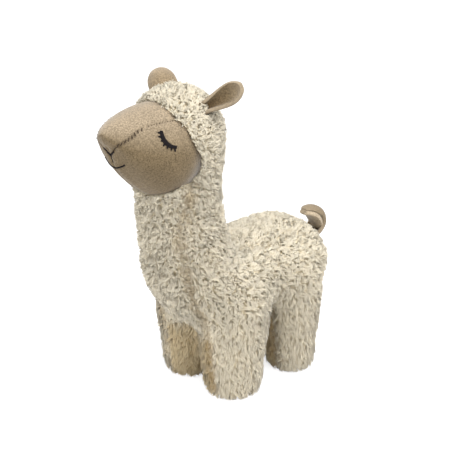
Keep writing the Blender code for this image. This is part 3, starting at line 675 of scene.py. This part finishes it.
def face_body():
    whole = [(FACE_SEAT - AHEAD * FACE_ROOT, FACE_RADIUS * 0.93, FACE_RADIUS * 0.93)]
    for step in range(FACE_RINGS):
        share = 1 - (1 - step / FACE_RINGS) ** RING_CROWDING
        size = (1 - share**FACE_FULLNESS) ** FACE_BLUNTNESS
        place = FACE_SEAT + AHEAD * FACE_LENGTH * share + UP * NOSE_LIFT * share**2
        slim = 1 - MUZZLE_SLIMMING * share**2
        whole.append((place, FACE_RADIUS * size, FACE_RADIUS * size * slim))
    bm = bmesh.new()
    add_tube(bm, whole, FACE_SIDES)
    for v in bm.verts:
        share = min(1, max(0, face_share(v.co)[0]))
        axis = FACE_SEAT + UP * NOSE_LIFT * share**2
        under = -(v.co - axis).dot(UP)
        if under <= 0:
            v.co -= UP * under * ((1 - BRIDGE_SLIMMING * share**2) / (1 - MUZZLE_SLIMMING * share**2) - 1)
        else:
            half_width = FACE_RADIUS * max(1 - share**FACE_FULLNESS, 1e-6) ** FACE_BLUNTNESS
            sideways = min(1, abs(v.co.x) / half_width)
            round_depth = math.sqrt(max(1e-9, 1 - sideways**2))
            keel_depth = math.sqrt(1 - sideways**KEEL_SHARPNESS)
            deep = round_depth + (keel_depth - round_depth) * min(1, share / KEEL_SHARE) * round_depth
            lip = min(LIP_LIMIT, max(0, LIP_TAKEN_UP * (share - MOUTH_SHARE)))
            deep *= 1 - (CHIN_TAKEN_UP * min(1, share / CHIN_SHARE) + lip) * round_depth
            v.co += UP * under * (1 - deep / round_depth)
    obj = new_object("face_cloth", bm)
    # painted light: how far the face's cloth points up, for a paler top
    marked(obj.data, "top_light", normals_of(obj.data)[:, 2])
    soften = obj.modifiers.new("soften", "SMOOTH")
    soften.factor = 0.5
    soften.iterations = 3
    return smooth(stuffed(baked(obj), FACE_SWELLING))


def tree_of(obj):
    return BVHTree.FromObject(obj, bpy.context.evaluated_depsgraph_get())


def cast(tree, starts, way):
    """(place, normal) where a ray from each start meets what the tree holds."""
    return [tree.ray_cast(start, way)[:2] for start in starts]


def on_front(tree, points):
    """(across, up) points cast onto the face from ahead."""
    return cast(tree, [FACE_SEAT + at(u, 0, 0) + UP * v + AHEAD * 0.15 for u, v in points], -AHEAD)


def on_cheek(tree, points, side):
    """(along, up) points cast onto a cheek from its side."""
    beside = at(side * 0.1, 0, 0)
    return cast(tree, [FACE_SEAT + AHEAD * u + UP * v + beside for u, v in points], at(-side, 0, 0))


def flat_line(points, steps=10):
    return [(p.x, p.y) for p in smooth_line([(u, v, 0) for u, v in points], steps)]


def seam_lines(tree):
    """The bridge's two seams and the chin's seam, on the face's surface."""
    lines = []
    for side in (1, -1):
        flat = [(side * u, v) for u, v in flat_line(BRIDGE_SEAM)]
        lines.append([place for place, _ in on_front(tree, flat) if place])
    chin = []
    for k in range(40):
        angle = math.radians(-4 - k * 3.0)
        start = FACE_SEAT + (AHEAD * math.cos(angle) + UP * math.sin(angle)) * 0.2
        place, normal, _, _ = tree.ray_cast(start, (FACE_SEAT - start).normalized())
        if place:
            chin.append(place)
    lines.append(chin)
    return lines


def sewn(obj, lines):
    """Presses seams into the face's cloth, with a fuller panel beside them and small puckers."""
    co, n = points_of(obj.data), normals_of(obj.data)
    push = np.zeros(len(co))
    for line in lines:
        away, share = distance_to_line(co, line)
        length = sum((b - a).length for a, b in zip(line, line[1:]))
        pucker = 0.5 + 0.5 * np.sin(share * length / PUCKER_PITCH * 2 * math.pi)
        pressed = -FACE_SEAM_DEPTH * np.exp(-((away / FACE_SEAM_WIDTH) ** 2))
        pressed -= PUCKER_DEPTH * pucker * np.exp(-((away / PUCKER_WIDTH) ** 2))
        height, distance, width = PANEL_FULLNESS
        push = np.minimum(push, pressed) + height * np.exp(-(((away - distance) / width) ** 2))
    put_points(obj.data, co + n * push[:, None])
    return obj


# Ears and tail
def leaf(name, spine, hollows, widths, cups, thickness):
    """A cupped leaf of doubled cloth along a spine. Its UV map holds (across, along)."""
    stations = [(s, h, Vector((w, c, 0))) for s, h, w, c in zip(spine, hollows, widths, cups)]
    rings = filled_in(stations, 5)
    bm = bmesh.new()
    columns = 20
    bmesh.ops.create_grid(bm, x_segments=columns, y_segments=len(rings) - 1, size=1)
    uv = bm.loops.layers.uv.new("leaf")
    bm.verts.ensure_lookup_table()
    drawn = {}
    for v in bm.verts:
        sideways, share = v.co.x, (v.co.y + 1) / 2
        drawn[v.index] = (sideways, share)
        i = int(round(share * (len(rings) - 1)))
        centre, hollow, size = rings[i]
        along = (rings[min(i + 1, len(rings) - 1)][0] - rings[max(i - 1, 0)][0]).normalized()
        hollow = (hollow - along * hollow.dot(along)).normalized()
        across = along.cross(hollow)
        angle = sideways * size.y
        radius = size.x / max(size.y, 0.05)
        v.co = centre + across * radius * math.sin(angle) + hollow * radius * (1 - math.cos(angle))
    for f in bm.faces:
        for loop in f.loops:
            loop[uv].uv = drawn[loop.vert.index]
    bmesh.ops.recalc_face_normals(bm, faces=bm.faces)
    obj = new_object(name, bm)
    wall = obj.modifiers.new("wall", "SOLIDIFY")
    wall.thickness = thickness
    wall.offset = 0
    rounder = obj.modifiers.new("rounder", "SUBSURF")
    rounder.levels = rounder.render_levels = 1
    return smooth(baked(obj))


def ear(side):
    """The left ear shows its hollow to the camera, and the right one its back."""
    shape = EARS[side]
    mirror = Vector((side, 1, 1))
    root, hollow = Vector(shape["root"]), Vector(shape["hollow"])
    lean = Vector(shape["lean"]).normalized()
    back_of = -hollow.normalized()
    spine = [
        (root + lean * shape["length"] * s + back_of * b) * mirror for s, b in zip(EAR_SHARES, EAR_BOW)
    ]
    hollows = [hollow * mirror for _ in EAR_SHARES]
    return leaf(shape["name"], spine, hollows, shape["widths"], shape["cups"], EAR_THICKNESS)


def tail():
    """A tab sewn into the rump and curled over forwards, and the lip of its turned-in base below."""
    outer = [at(0, y, z) for y, z in (
        (0.0880, 0.1010), (0.0965, 0.1020), (0.1043, 0.1075), (0.1065, 0.1145),
        (0.1037, 0.1222), (0.0962, 0.1270), (0.0887, 0.1280), (0.0842, 0.1262),
    )]
    hollows = [at(0, y, z) for y, z in (
        (-0.3, 1), (-0.4, 1), (-0.9, 0.6), (-1, 0), (-0.8, -0.7), (-0.2, -1), (0.1, -1), (0.5, -1),
    )]
    back = leaf(
        "tail_cloth", outer, hollows, (0.0080, 0.0100, 0.0112, 0.0116, 0.0114, 0.0100, 0.0070, 0.0030),
        (0.5, 0.8, 1.1, 1.25, 1.25, 1.1, 0.8, 0.4), 0.0034,
    )
    inner = [at(0, y, z) for y, z in (
        (0.1005, 0.1068), (0.0982, 0.1118), (0.0940, 0.1176),
        (0.0897, 0.1216), (0.0858, 0.1240), (0.0832, 0.1248),
    )]
    lip = leaf(
        "tail_lip", inner, [at(0, 0.6, 0.8)] * 6, (0.0070, 0.0086, 0.0092, 0.0086, 0.0062, 0.0028),
        (0.3, 0.45, 0.5, 0.5, 0.4, 0.3), 0.0044,
    )
    return back, lip


# Threads
def thread_template():
    """A short rounded thread along X, from -0.5 to 0.5, with radius 0.5 in Y and Z."""
    bm = bmesh.new()
    stations = (
        (-0.5, 0.14), (-0.46, 0.34), (-0.34, 0.5), (0.0, 0.56), (0.34, 0.5), (0.46, 0.34), (0.5, 0.14),
    )
    rings = []
    for x, radius in stations:
        place = Matrix.Translation((x, 0, 0)) @ Matrix.Rotation(math.pi / 2, 4, "Y")
        rings.append(ring(bm, 6, radius, place))
    joined(bm, rings)
    mesh = bpy.data.meshes.new("thread")
    bm.to_mesh(mesh)
    bm.free()
    return mesh


def threads(name, placed, template):
    """One object of threads, each given as (middle, direction, normal, length, thickness)."""
    bm = bmesh.new()
    for middle, direction, normal, length, thickness in placed:
        along = direction.normalized()
        over = (normal - along * normal.dot(along)).normalized()
        side = over.cross(along)
        turn = Matrix((along * length, side * thickness, over * thickness)).transposed().to_4x4()
        start = len(bm.verts)
        bm.from_mesh(template)
        bm.verts.ensure_lookup_table()
        bmesh.ops.transform(bm, verts=bm.verts[start:], matrix=Matrix.Translation(middle) @ turn)
    return smooth(new_object(name, bm))


def walked(line, count):
    """count places evenly along a line of (place, normal), with the line's direction there."""
    lengths = [0.0]
    for (a, _), (b, _) in zip(line, line[1:]):
        lengths.append(lengths[-1] + (b - a).length)
    out = []
    for k in range(count):
        want = lengths[-1] * (k + 0.5) / count
        i = max(j for j in range(len(line) - 1) if lengths[j] <= want)
        share = (want - lengths[i]) / max(lengths[i + 1] - lengths[i], 1e-9)
        place = line[i][0].lerp(line[i + 1][0], share)
        normal = line[i][1].lerp(line[i + 1][1], share).normalized()
        out.append((place, normal, (line[i + 1][0] - line[i][0]).normalized()))
    return out


def eye(tree, side):
    """A closed eye: a band of satin stitches along an arc, with lashes on its lower side."""
    line = on_cheek(tree, flat_line(EYE_ARC), side)
    placed = []
    for k, (place, normal, along) in enumerate(walked(line, EYE_STITCHES)):
        across = normal.cross(along) * side
        share = (k + 0.5) / EYE_STITCHES
        long = EYE_STITCH[0] * (0.66 + 0.34 * math.sin(math.pi * min(1, share * 1.15)))
        tilt = (across + along * 0.18).normalized()
        placed.append((place + normal * 0.0004, tilt, normal, long, EYE_STITCH[1]))
    for k, (place, normal, along) in enumerate(walked(line, LASHES)):
        across = normal.cross(along) * -side
        long = LASH[0] + 0.0004 * math.sin(k * 2.4)
        lean = (across + along * (k - 3) * 0.10).normalized()
        for offset in LASH_THREADS:
            middle = place + across * (0.0014 + long / 2) + along * offset + normal * 0.0003
            placed.append((middle, (lean - along * offset * 500).normalized(), normal, long, LASH[1]))
    return placed


def crossing(line, count, length, thickness, lift, slant):
    """Stitches laid across a line of (place, normal)."""
    placed = []
    for place, normal, along in walked(line, count):
        way = (normal.cross(along) + along * slant).normalized()
        placed.append((place + normal * lift, way, normal, length, thickness))
    return placed


# Materials
def node(tree, kind, **values):
    made = tree.nodes.new(kind)
    for key, value in values.items():
        setattr(made, key, value)
    return made


def attribute(tree, name):
    return node(tree, "ShaderNodeAttribute", attribute_name=name).outputs["Fac"]


def mixed(tree, factor, a, b, blend="MIX"):
    mix = node(tree, "ShaderNodeMix", data_type="RGBA", blend_type=blend)
    for socket, value in ((mix.inputs["Factor"], factor), (mix.inputs["A"], a), (mix.inputs["B"], b)):
        if isinstance(value, bpy.types.NodeSocket):
            tree.links.new(value, socket)
        elif isinstance(value, (int, float)):
            socket.default_value = value
        else:
            socket.default_value = (*value, 1)
    return mix.outputs["Result"]


def tinted(tree, colour, tint):
    return mixed(tree, 1.0, colour, tint, "MULTIPLY")


def maths(tree, operation, a, b=0.0):
    made = node(tree, "ShaderNodeMath", operation=operation)
    for socket, value in ((made.inputs[0], a), (made.inputs[1], b)):
        if isinstance(value, bpy.types.NodeSocket):
            tree.links.new(value, socket)
        else:
            socket.default_value = value
    return made.outputs[0]


def noise(tree, scale, detail=2.0, roughness=0.5):
    """Noise over the object's own coordinates."""
    made = node(tree, "ShaderNodeTexNoise")
    made.inputs["Scale"].default_value = scale
    made.inputs["Detail"].default_value = detail
    made.inputs["Roughness"].default_value = roughness
    tree.links.new(node(tree, "ShaderNodeTexCoord").outputs["Object"], made.inputs["Vector"])
    return made.outputs["Fac"]


def ranged(tree, value, *ends):
    """The value mapped from between the first two ends to between the last two, or 0 and 1."""
    made = node(tree, "ShaderNodeMapRange")
    tree.links.new(value, made.inputs["Value"])
    for key, number in zip(("From Min", "From Max", "To Min", "To Max"), ends):
        made.inputs[key].default_value = number
    return made.outputs["Result"]


def surfaced(made, colour, height, strength, distance):
    """Gives a material its colour and its bumps."""
    tree = made.node_tree
    shader = tree.nodes["Principled BSDF"]
    bump = node(tree, "ShaderNodeBump")
    bump.inputs["Strength"].default_value = strength
    bump.inputs["Distance"].default_value = distance
    tree.links.new(height, bump.inputs["Height"])
    tree.links.new(bump.outputs["Normal"], shader.inputs["Normal"])
    tree.links.new(colour, shader.inputs["Base Color"])
    return made


def material(name, roughness, specular=0.25, sheen=0.0, sheen_roughness=0.5, sheen_tint=(1, 1, 1)):
    made = bpy.data.materials.new(name)
    made.use_nodes = True
    shader = made.node_tree.nodes["Principled BSDF"]
    shader.inputs["Roughness"].default_value = roughness
    shader.inputs["Specular IOR Level"].default_value = specular
    shader.inputs["Sheen Weight"].default_value = sheen
    shader.inputs["Sheen Roughness"].default_value = sheen_roughness
    shader.inputs["Sheen Tint"].default_value = (*sheen_tint, 1)
    return made, made.node_tree


CREAM_TIP = (0.955, 0.890, 0.740)
# painted shade: the roots are darker and warmer than the tips, for the shade deep in the pile
SHADED_CREAM_ROOT = (0.900, 0.780, 0.550)
# painted shade: the pile's colours where the underside and inner legs lie in warm shade
SHADE_TAN_TIP = (0.870, 0.730, 0.475)
SHADE_TAN_ROOT = (0.640, 0.475, 0.250)
SEAM_SHADE_TINT = (0.66, 0.56, 0.42)  # painted shade: the pile is darker in the furrow where it parts at a seam
# painted shade: the backing seen between the locks is darker than the tips
SHADED_BACKING_CREAM = (0.84, 0.735, 0.53)
BACKING_SHADE_TAN = (0.64, 0.48, 0.27)
SEEN_THROUGH = 0.41  # share of the light that passes through the pile
TAUPE = (0.152, 0.112, 0.064)
OUTER_TAUPE = (0.215, 0.163, 0.102)
LIP_TAUPE = (0.400, 0.325, 0.230)
TOP_LIGHT_TINT = (1.70, 1.83, 2.20)  # painted light: the velour is paler and greyer where it faces up, where the light from above falls
# painted highlight on a leaf's rim and tip, and painted shade in its hollow near the base
RIM_HIGHLIGHT_TAUPE = (0.42, 0.35, 0.26)
HOLLOW_SHADE_TINT = (0.38, 0.30, 0.22)
BLACK = (0.010, 0.008, 0.009)
BROWN = (0.040, 0.027, 0.019)
CREAM = (0.62, 0.54, 0.40)


def pile_material():
    """Pale tips over darker, warmer roots, which are painted shade deep in the pile; the attributes say where
    the underside's painted warm shade is, how pale a lock is (with painted shade on the hood's top), and how
    near a seam.
    """
    made, tree = material("cream_pile", 0.95, sheen=0.35, sheen_tint=(1.0, 0.97, 0.90))
    # painted shade: each lock darkens from its tip to its root
    tip = maths(tree, "POWER", attribute(tree, "tip"), 0.55)
    # painted warm shade on the underside and inner legs
    underside_shade = attribute(tree, "underside_shade")
    cream = mixed(tree, tip, SHADED_CREAM_ROOT, CREAM_TIP)
    shaded_tan = mixed(tree, tip, SHADE_TAN_ROOT, SHADE_TAN_TIP)
    colour = mixed(tree, underside_shade, cream, shaded_tan)
    # per-lock tone, which also carries the painted shade on the hood's top
    tone_and_top_shade = ranged(tree, attribute(tree, "tone_and_top_shade"), 0, 1, 0.92, 1.04)
    colour = tinted(tree, colour, tone_and_top_shade)
    patch = ranged(tree, noise(tree, 60, 3), 0.35, 0.65, 0.93, 1.03)
    colour = tinted(tree, colour, patch)
    uneven = ranged(tree, noise(tree, 150, 2), 0.30, 0.62, 0.10, 0.95)
    # painted shade along the seams' furrows, broken up by noise
    shade = maths(tree, "MULTIPLY", attribute(tree, "seam"), uneven)
    colour = mixed(tree, shade, colour, tinted(tree, colour, SEAM_SHADE_TINT))
    shader = tree.nodes["Principled BSDF"]
    tree.links.new(colour, shader.inputs["Base Color"])
    through = node(tree, "ShaderNodeBsdfTranslucent")
    tree.links.new(colour, through.inputs["Color"])
    blend = node(tree, "ShaderNodeMixShader")
    blend.inputs["Fac"].default_value = SEEN_THROUGH
    tree.links.new(shader.outputs[0], blend.inputs[1])
    tree.links.new(through.outputs[0], blend.inputs[2])
    tree.links.new(blend.outputs[0], tree.nodes["Material Output"].inputs["Surface"])
    return made


def backing_material():
    made, tree = material("cream_backing", 1.0)
    # painted shade: tan where the underside and inner legs lie in shade
    underside_shade = attribute(tree, "underside_shade")
    # painted shade: the backing is darker than the pile's tips, as seen deep between the locks
    colour = mixed(tree, underside_shade, SHADED_BACKING_CREAM, BACKING_SHADE_TAN)
    curls = noise(tree, 420, 4, 0.6)
    colour = tinted(tree, colour, ranged(tree, curls, 0.3, 0.7, 0.8, 1.15))
    return surfaced(made, colour, curls, strength=0.8, distance=0.0012)


def velour(name, colour, leaf_map=False, hollow=True):
    """Short-napped cloth with a speckle. Off a leaf it is painted paler where it faces up, for light from
    above. On a leaf the rim and tip have a painted highlight, and the hollow has painted shade at its base.
    """
    made, tree = material(
        name, 0.9, specular=0.05, sheen=0.35, sheen_roughness=0.4, sheen_tint=(1.0, 0.98, 0.95))
    grain = noise(tree, 840, 3, 0.65)
    fine = noise(tree, 2600, 2, 0.6)
    broad = noise(tree, 55, 3, 0.5)
    both = maths(tree, "ADD", maths(tree, "MULTIPLY", grain, 0.8), maths(tree, "MULTIPLY", fine, 0.2))
    factor = ranged(tree, both, 0.38, 0.62, 0.64, 1.36)
    result = tinted(tree, colour, factor)
    result = tinted(tree, result, ranged(tree, broad, 0.3, 0.7, 0.93, 1.06))
    if not leaf_map:
        # painted light: paler and greyer where the cloth faces up
        top_light = ranged(tree, attribute(tree, "top_light"), 0.10, 0.85)
        result = mixed(tree, top_light, result, tinted(tree, result, TOP_LIGHT_TINT))
    else:
        uv = node(tree, "ShaderNodeUVMap", uv_map="leaf")
        parts = node(tree, "ShaderNodeSeparateXYZ")
        tree.links.new(uv.outputs["UV"], parts.inputs["Vector"])
        across = maths(tree, "ABSOLUTE", parts.outputs["X"])
        # painted highlight along the rim and towards the tip
        rim = ranged(tree, across, 0.90, 0.985)
        tip = maths(tree, "MULTIPLY", ranged(tree, parts.outputs["Y"], 0.50, 0.95), 0.8)
        edge = maths(tree, "MAXIMUM", rim, tip)
        result = mixed(tree, maths(tree, "MULTIPLY", edge, 0.45), result, RIM_HIGHLIGHT_TAUPE)
        # painted shade in the hollow near the base, slight on the ear's back
        base = ranged(tree, parts.outputs["Y"], 0.62, 0.12, 0.0, 1.0 if hollow else 0.2)
        deep = maths(tree, "MULTIPLY", base, ranged(tree, across, 0.85, 0.4))
        dark = tinted(tree, result, HOLLOW_SHADE_TINT)
        result = mixed(tree, maths(tree, "MULTIPLY", deep, 0.85), result, dark)
    return surfaced(made, result, both, strength=0.6, distance=0.0005)


def thread_material(name, colour):
    made, tree = material(name, 0.6, specular=0.08)
    fibres = noise(tree, 3000, 2, 0.5)
    colour = tinted(tree, colour, ranged(tree, fibres, 0.35, 0.65, 0.7, 1.4))
    return surfaced(made, colour, fibres, strength=0.5, distance=0.0002)


def plain_material(name, colour, roughness, scale):
    """For what is inside: fibre, bulb and reed."""
    made, tree = material(name, roughness)
    cloud = noise(tree, scale, 4, 0.6)
    colour = tinted(tree, colour, ranged(tree, cloud, 0.3, 0.7, 0.88, 1.08))
    return surfaced(made, colour, cloud, strength=0.4, distance=0.0006)


def dressed(obj, look):
    obj.data.materials.clear()
    obj.data.materials.append(look)
    return obj


def placed_on_root(obj, nodes=(), move=True):
    if move:
        obj.data.transform(Matrix.Translation(SHIFT))
    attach(obj, "root")
    if nodes:
        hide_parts(*nodes)
    return obj


# The toy
FLEECE_NODES = ("left_side_fleece", "right_side_fleece", "belly_fleece", "chest_fleece")
FACE_NODES = ("bridge_cloth", "left_cheek_cloth", "right_cheek_cloth")
LEG_PILE_TOP = 0.070  # where one piece of pile ends and the next begins
HOOD_PILE_FOOT = 0.190
NECK_PILE_BACK = -0.020

face = face_body()
lines = seam_lines(tree_of(face))
sewn(face, lines)
face_tree = tree_of(face)

backing = kept_off(furrowed(soft_body()), filling_tree())
# painted warm shade on the backing's underside and inner legs
marked(backing.data, "underside_shade", underside_shade_of(points_of(backing.data)))

paths = pile_paths(backing.data, face_tree)
template = lock_template()
root_x, root_y, root_z = paths["root"].T
legs = root_z < LEG_PILE_TOP
hood = root_z >= HOOD_PILE_FOOT
neck = ~(legs | hood) & (root_y < NECK_PILE_BACK)
trunk = ~(legs | hood | neck)
pile_look = pile_material()
for name, chosen in (("leg_pile", legs), ("hood_pile", hood), ("neck_pile", neck), ("trunk_pile", trunk)):
    for word, half in (("left", root_x >= 0), ("right", root_x < 0)):
        piece = pile_object(word + "_" + name, part_of(paths, chosen & half), template)
        placed_on_root(dressed(piece, pile_look))

placed_on_root(dressed(backing, backing_material()), FLEECE_NODES)

face_look = velour("taupe_velour", TAUPE)
placed_on_root(dressed(face, face_look), FACE_NODES)

ear_look = velour("taupe_velour_leaf", TAUPE, leaf_map=True)
outer_look = velour("taupe_velour_outside", OUTER_TAUPE, leaf_map=True, hollow=False)
for side, word, look in ((1, "left", ear_look), (-1, "right", outer_look)):
    placed_on_root(dressed(ear(side), look), (word + "_ear",))
lip_look = velour("pale_velour_leaf", LIP_TAUPE)
for piece, look in zip(tail(), (ear_look, lip_look)):
    placed_on_root(dressed(piece, look), ("tail",))

thread = thread_template()
black = thread_material("black_thread", BLACK)
brown = thread_material("brown_thread", BROWN)
for side, word in ((1, "left"), (-1, "right")):
    piece = threads(word + "_eye_embroidery", eye(face_tree, side), thread)
    placed_on_root(dressed(piece, black), (word + "_eye_stitches",))
    seam = on_front(face_tree, [(side * u, v) for u, v in flat_line(BRIDGE_SEAM)])
    seam = [p for p in seam if p[0]]
    hand = crossing(seam[14:44], count=8, length=0.0034, thickness=0.00070, lift=0.0010, slant=1.0)
    hand += crossing(seam[5:14], count=4, length=0.0016, thickness=0.00045, lift=0.0006, slant=0.5)
    hand += crossing(seam[46:], count=13, length=0.0018, thickness=0.00038, lift=0.0006, slant=0.7)
    piece = threads(word + "_bridge_stitching", hand, thread)
    placed_on_root(dressed(piece, brown), (word + "_seam_stitches",))

stem = on_front(face_tree, flat_line((NOSE_CENTRE, NOSE_STEM)))
nose = crossing(stem, count=11, length=0.0014, thickness=0.00060, lift=0.0003, slant=0.3)
for side in (1, -1):
    arm = on_front(face_tree, flat_line((NOSE_CENTRE, (side * NOSE_ARM[0], NOSE_ARM[1]))))
    nose += crossing(arm, count=16, length=0.0017, thickness=0.00062, lift=0.0003, slant=0.3)
placed_on_root(dressed(threads("nose_embroidery", nose, thread), black), ("nose_stitches",))
mouth_line = on_front(face_tree, flat_line(MOUTH))
mouth = crossing(mouth_line, count=42, length=0.0014, thickness=0.00062, lift=0.0003, slant=0.5)
placed_on_root(dressed(threads("mouth_embroidery", mouth, thread), black), ("mouth_stitches",))

opening = cast(tree_of(backing), [at(0, -0.008 + 0.0034 * k, 0.01) + SHIFT for k in range(12)], at(0, 0, 1))
closing = crossing(opening, count=9, length=0.0070, thickness=0.0008, lift=0.0022, slant=0.25)
cream_thread = thread_material("cream_thread", CREAM)
piece = threads("belly_closing_stitches", closing, thread)
placed_on_root(dressed(piece, cream_thread), ("closing_stitches",), move=False)

for name, look in (
    ("filling", plain_material("white_fibre", (0.84, 0.84, 0.83), 1.0, 300)),
    ("squeaker_bulb", plain_material("pale_vinyl", (0.80, 0.80, 0.77), 0.4, 120)),
    ("squeaker_reed", plain_material("red_reed", (0.52, 0.07, 0.05), 0.4, 120)),
):
    dressed(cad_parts[name], look)

# Stage
TARGET = at(-0.0027, 0.0103, 0.1302)
FLOOR_HALF_SIZE = 6
FLOOR_COLOUR = (0.78, 0.78, 0.78)
FLOOR_COLOUR_SEEN = (0.40, 0.40, 0.40)  # for camera rays, which also see the glow
FLOOR_GLOW = 0.80
STUDIO_LIGHT = 0.53
BACKDROP = 1.0  # for camera rays


def aimed(name, data, azimuth, elevation, distance):
    """A lamp or camera that looks at the target, so many degrees round it and above it."""
    obj = bpy.data.objects.new(name, data)
    a, e = math.radians(azimuth), math.radians(elevation)
    out = at(math.sin(a) * math.cos(e), -math.cos(a) * math.cos(e), math.sin(e))
    obj.location = TARGET + out * distance
    obj.rotation_euler = (-out).to_track_quat("-Z", "Y").to_euler()
    scene.collection.objects.link(obj)
    return obj


def lamp(name, azimuth, elevation, distance, size, power):
    data = bpy.data.lights.new(name, "AREA")
    data.shape = "DISK"
    data.size = size
    data.energy = power
    aimed(name, data, azimuth, elevation, distance)


bm = bmesh.new()
bmesh.ops.create_grid(bm, x_segments=1, y_segments=1, size=FLOOR_HALF_SIZE)
floor = new_object("floor", bm)
paper = bpy.data.materials.new("white_paper")
paper.use_nodes = True
tree = paper.node_tree
tree.nodes.remove(tree.nodes["Principled BSDF"])
matt = node(tree, "ShaderNodeBsdfDiffuse")
glow = node(tree, "ShaderNodeEmission")
seen = node(tree, "ShaderNodeLightPath").outputs["Is Camera Ray"]
tree.links.new(mixed(tree, seen, FLOOR_COLOUR, FLOOR_COLOUR_SEEN), matt.inputs["Color"])
tree.links.new(maths(tree, "MULTIPLY", seen, FLOOR_GLOW), glow.inputs["Strength"])
both = node(tree, "ShaderNodeAddShader")
tree.links.new(matt.outputs[0], both.inputs[0])
tree.links.new(glow.outputs[0], both.inputs[1])
tree.links.new(both.outputs[0], tree.nodes["Material Output"].inputs["Surface"])
floor.data.materials.append(paper)

scene = bpy.context.scene
world = scene.world or bpy.data.worlds.new("studio")
scene.world = world
world.use_nodes = True
tree = world.node_tree
sky = tree.nodes["Background"]
seen = node(tree, "ShaderNodeLightPath").outputs["Is Camera Ray"]
tree.links.new(ranged(tree, seen, 0, 1, STUDIO_LIGHT, BACKDROP), sky.inputs["Strength"])
sky.inputs["Color"].default_value = (1, 1, 1, 1)

lamp("key", azimuth=95, elevation=64, distance=1.6, size=1.9, power=50)
lamp("fill", azimuth=-20, elevation=25, distance=2.0, size=1.4, power=20)

camera_data = bpy.data.cameras.new("camera")
camera_data.lens = 93.5
camera_data.sensor_width = 36
scene.camera = aimed("camera", camera_data, azimuth=48.1, elevation=22.5, distance=1.0)
scene.view_settings.view_transform = "Standard"
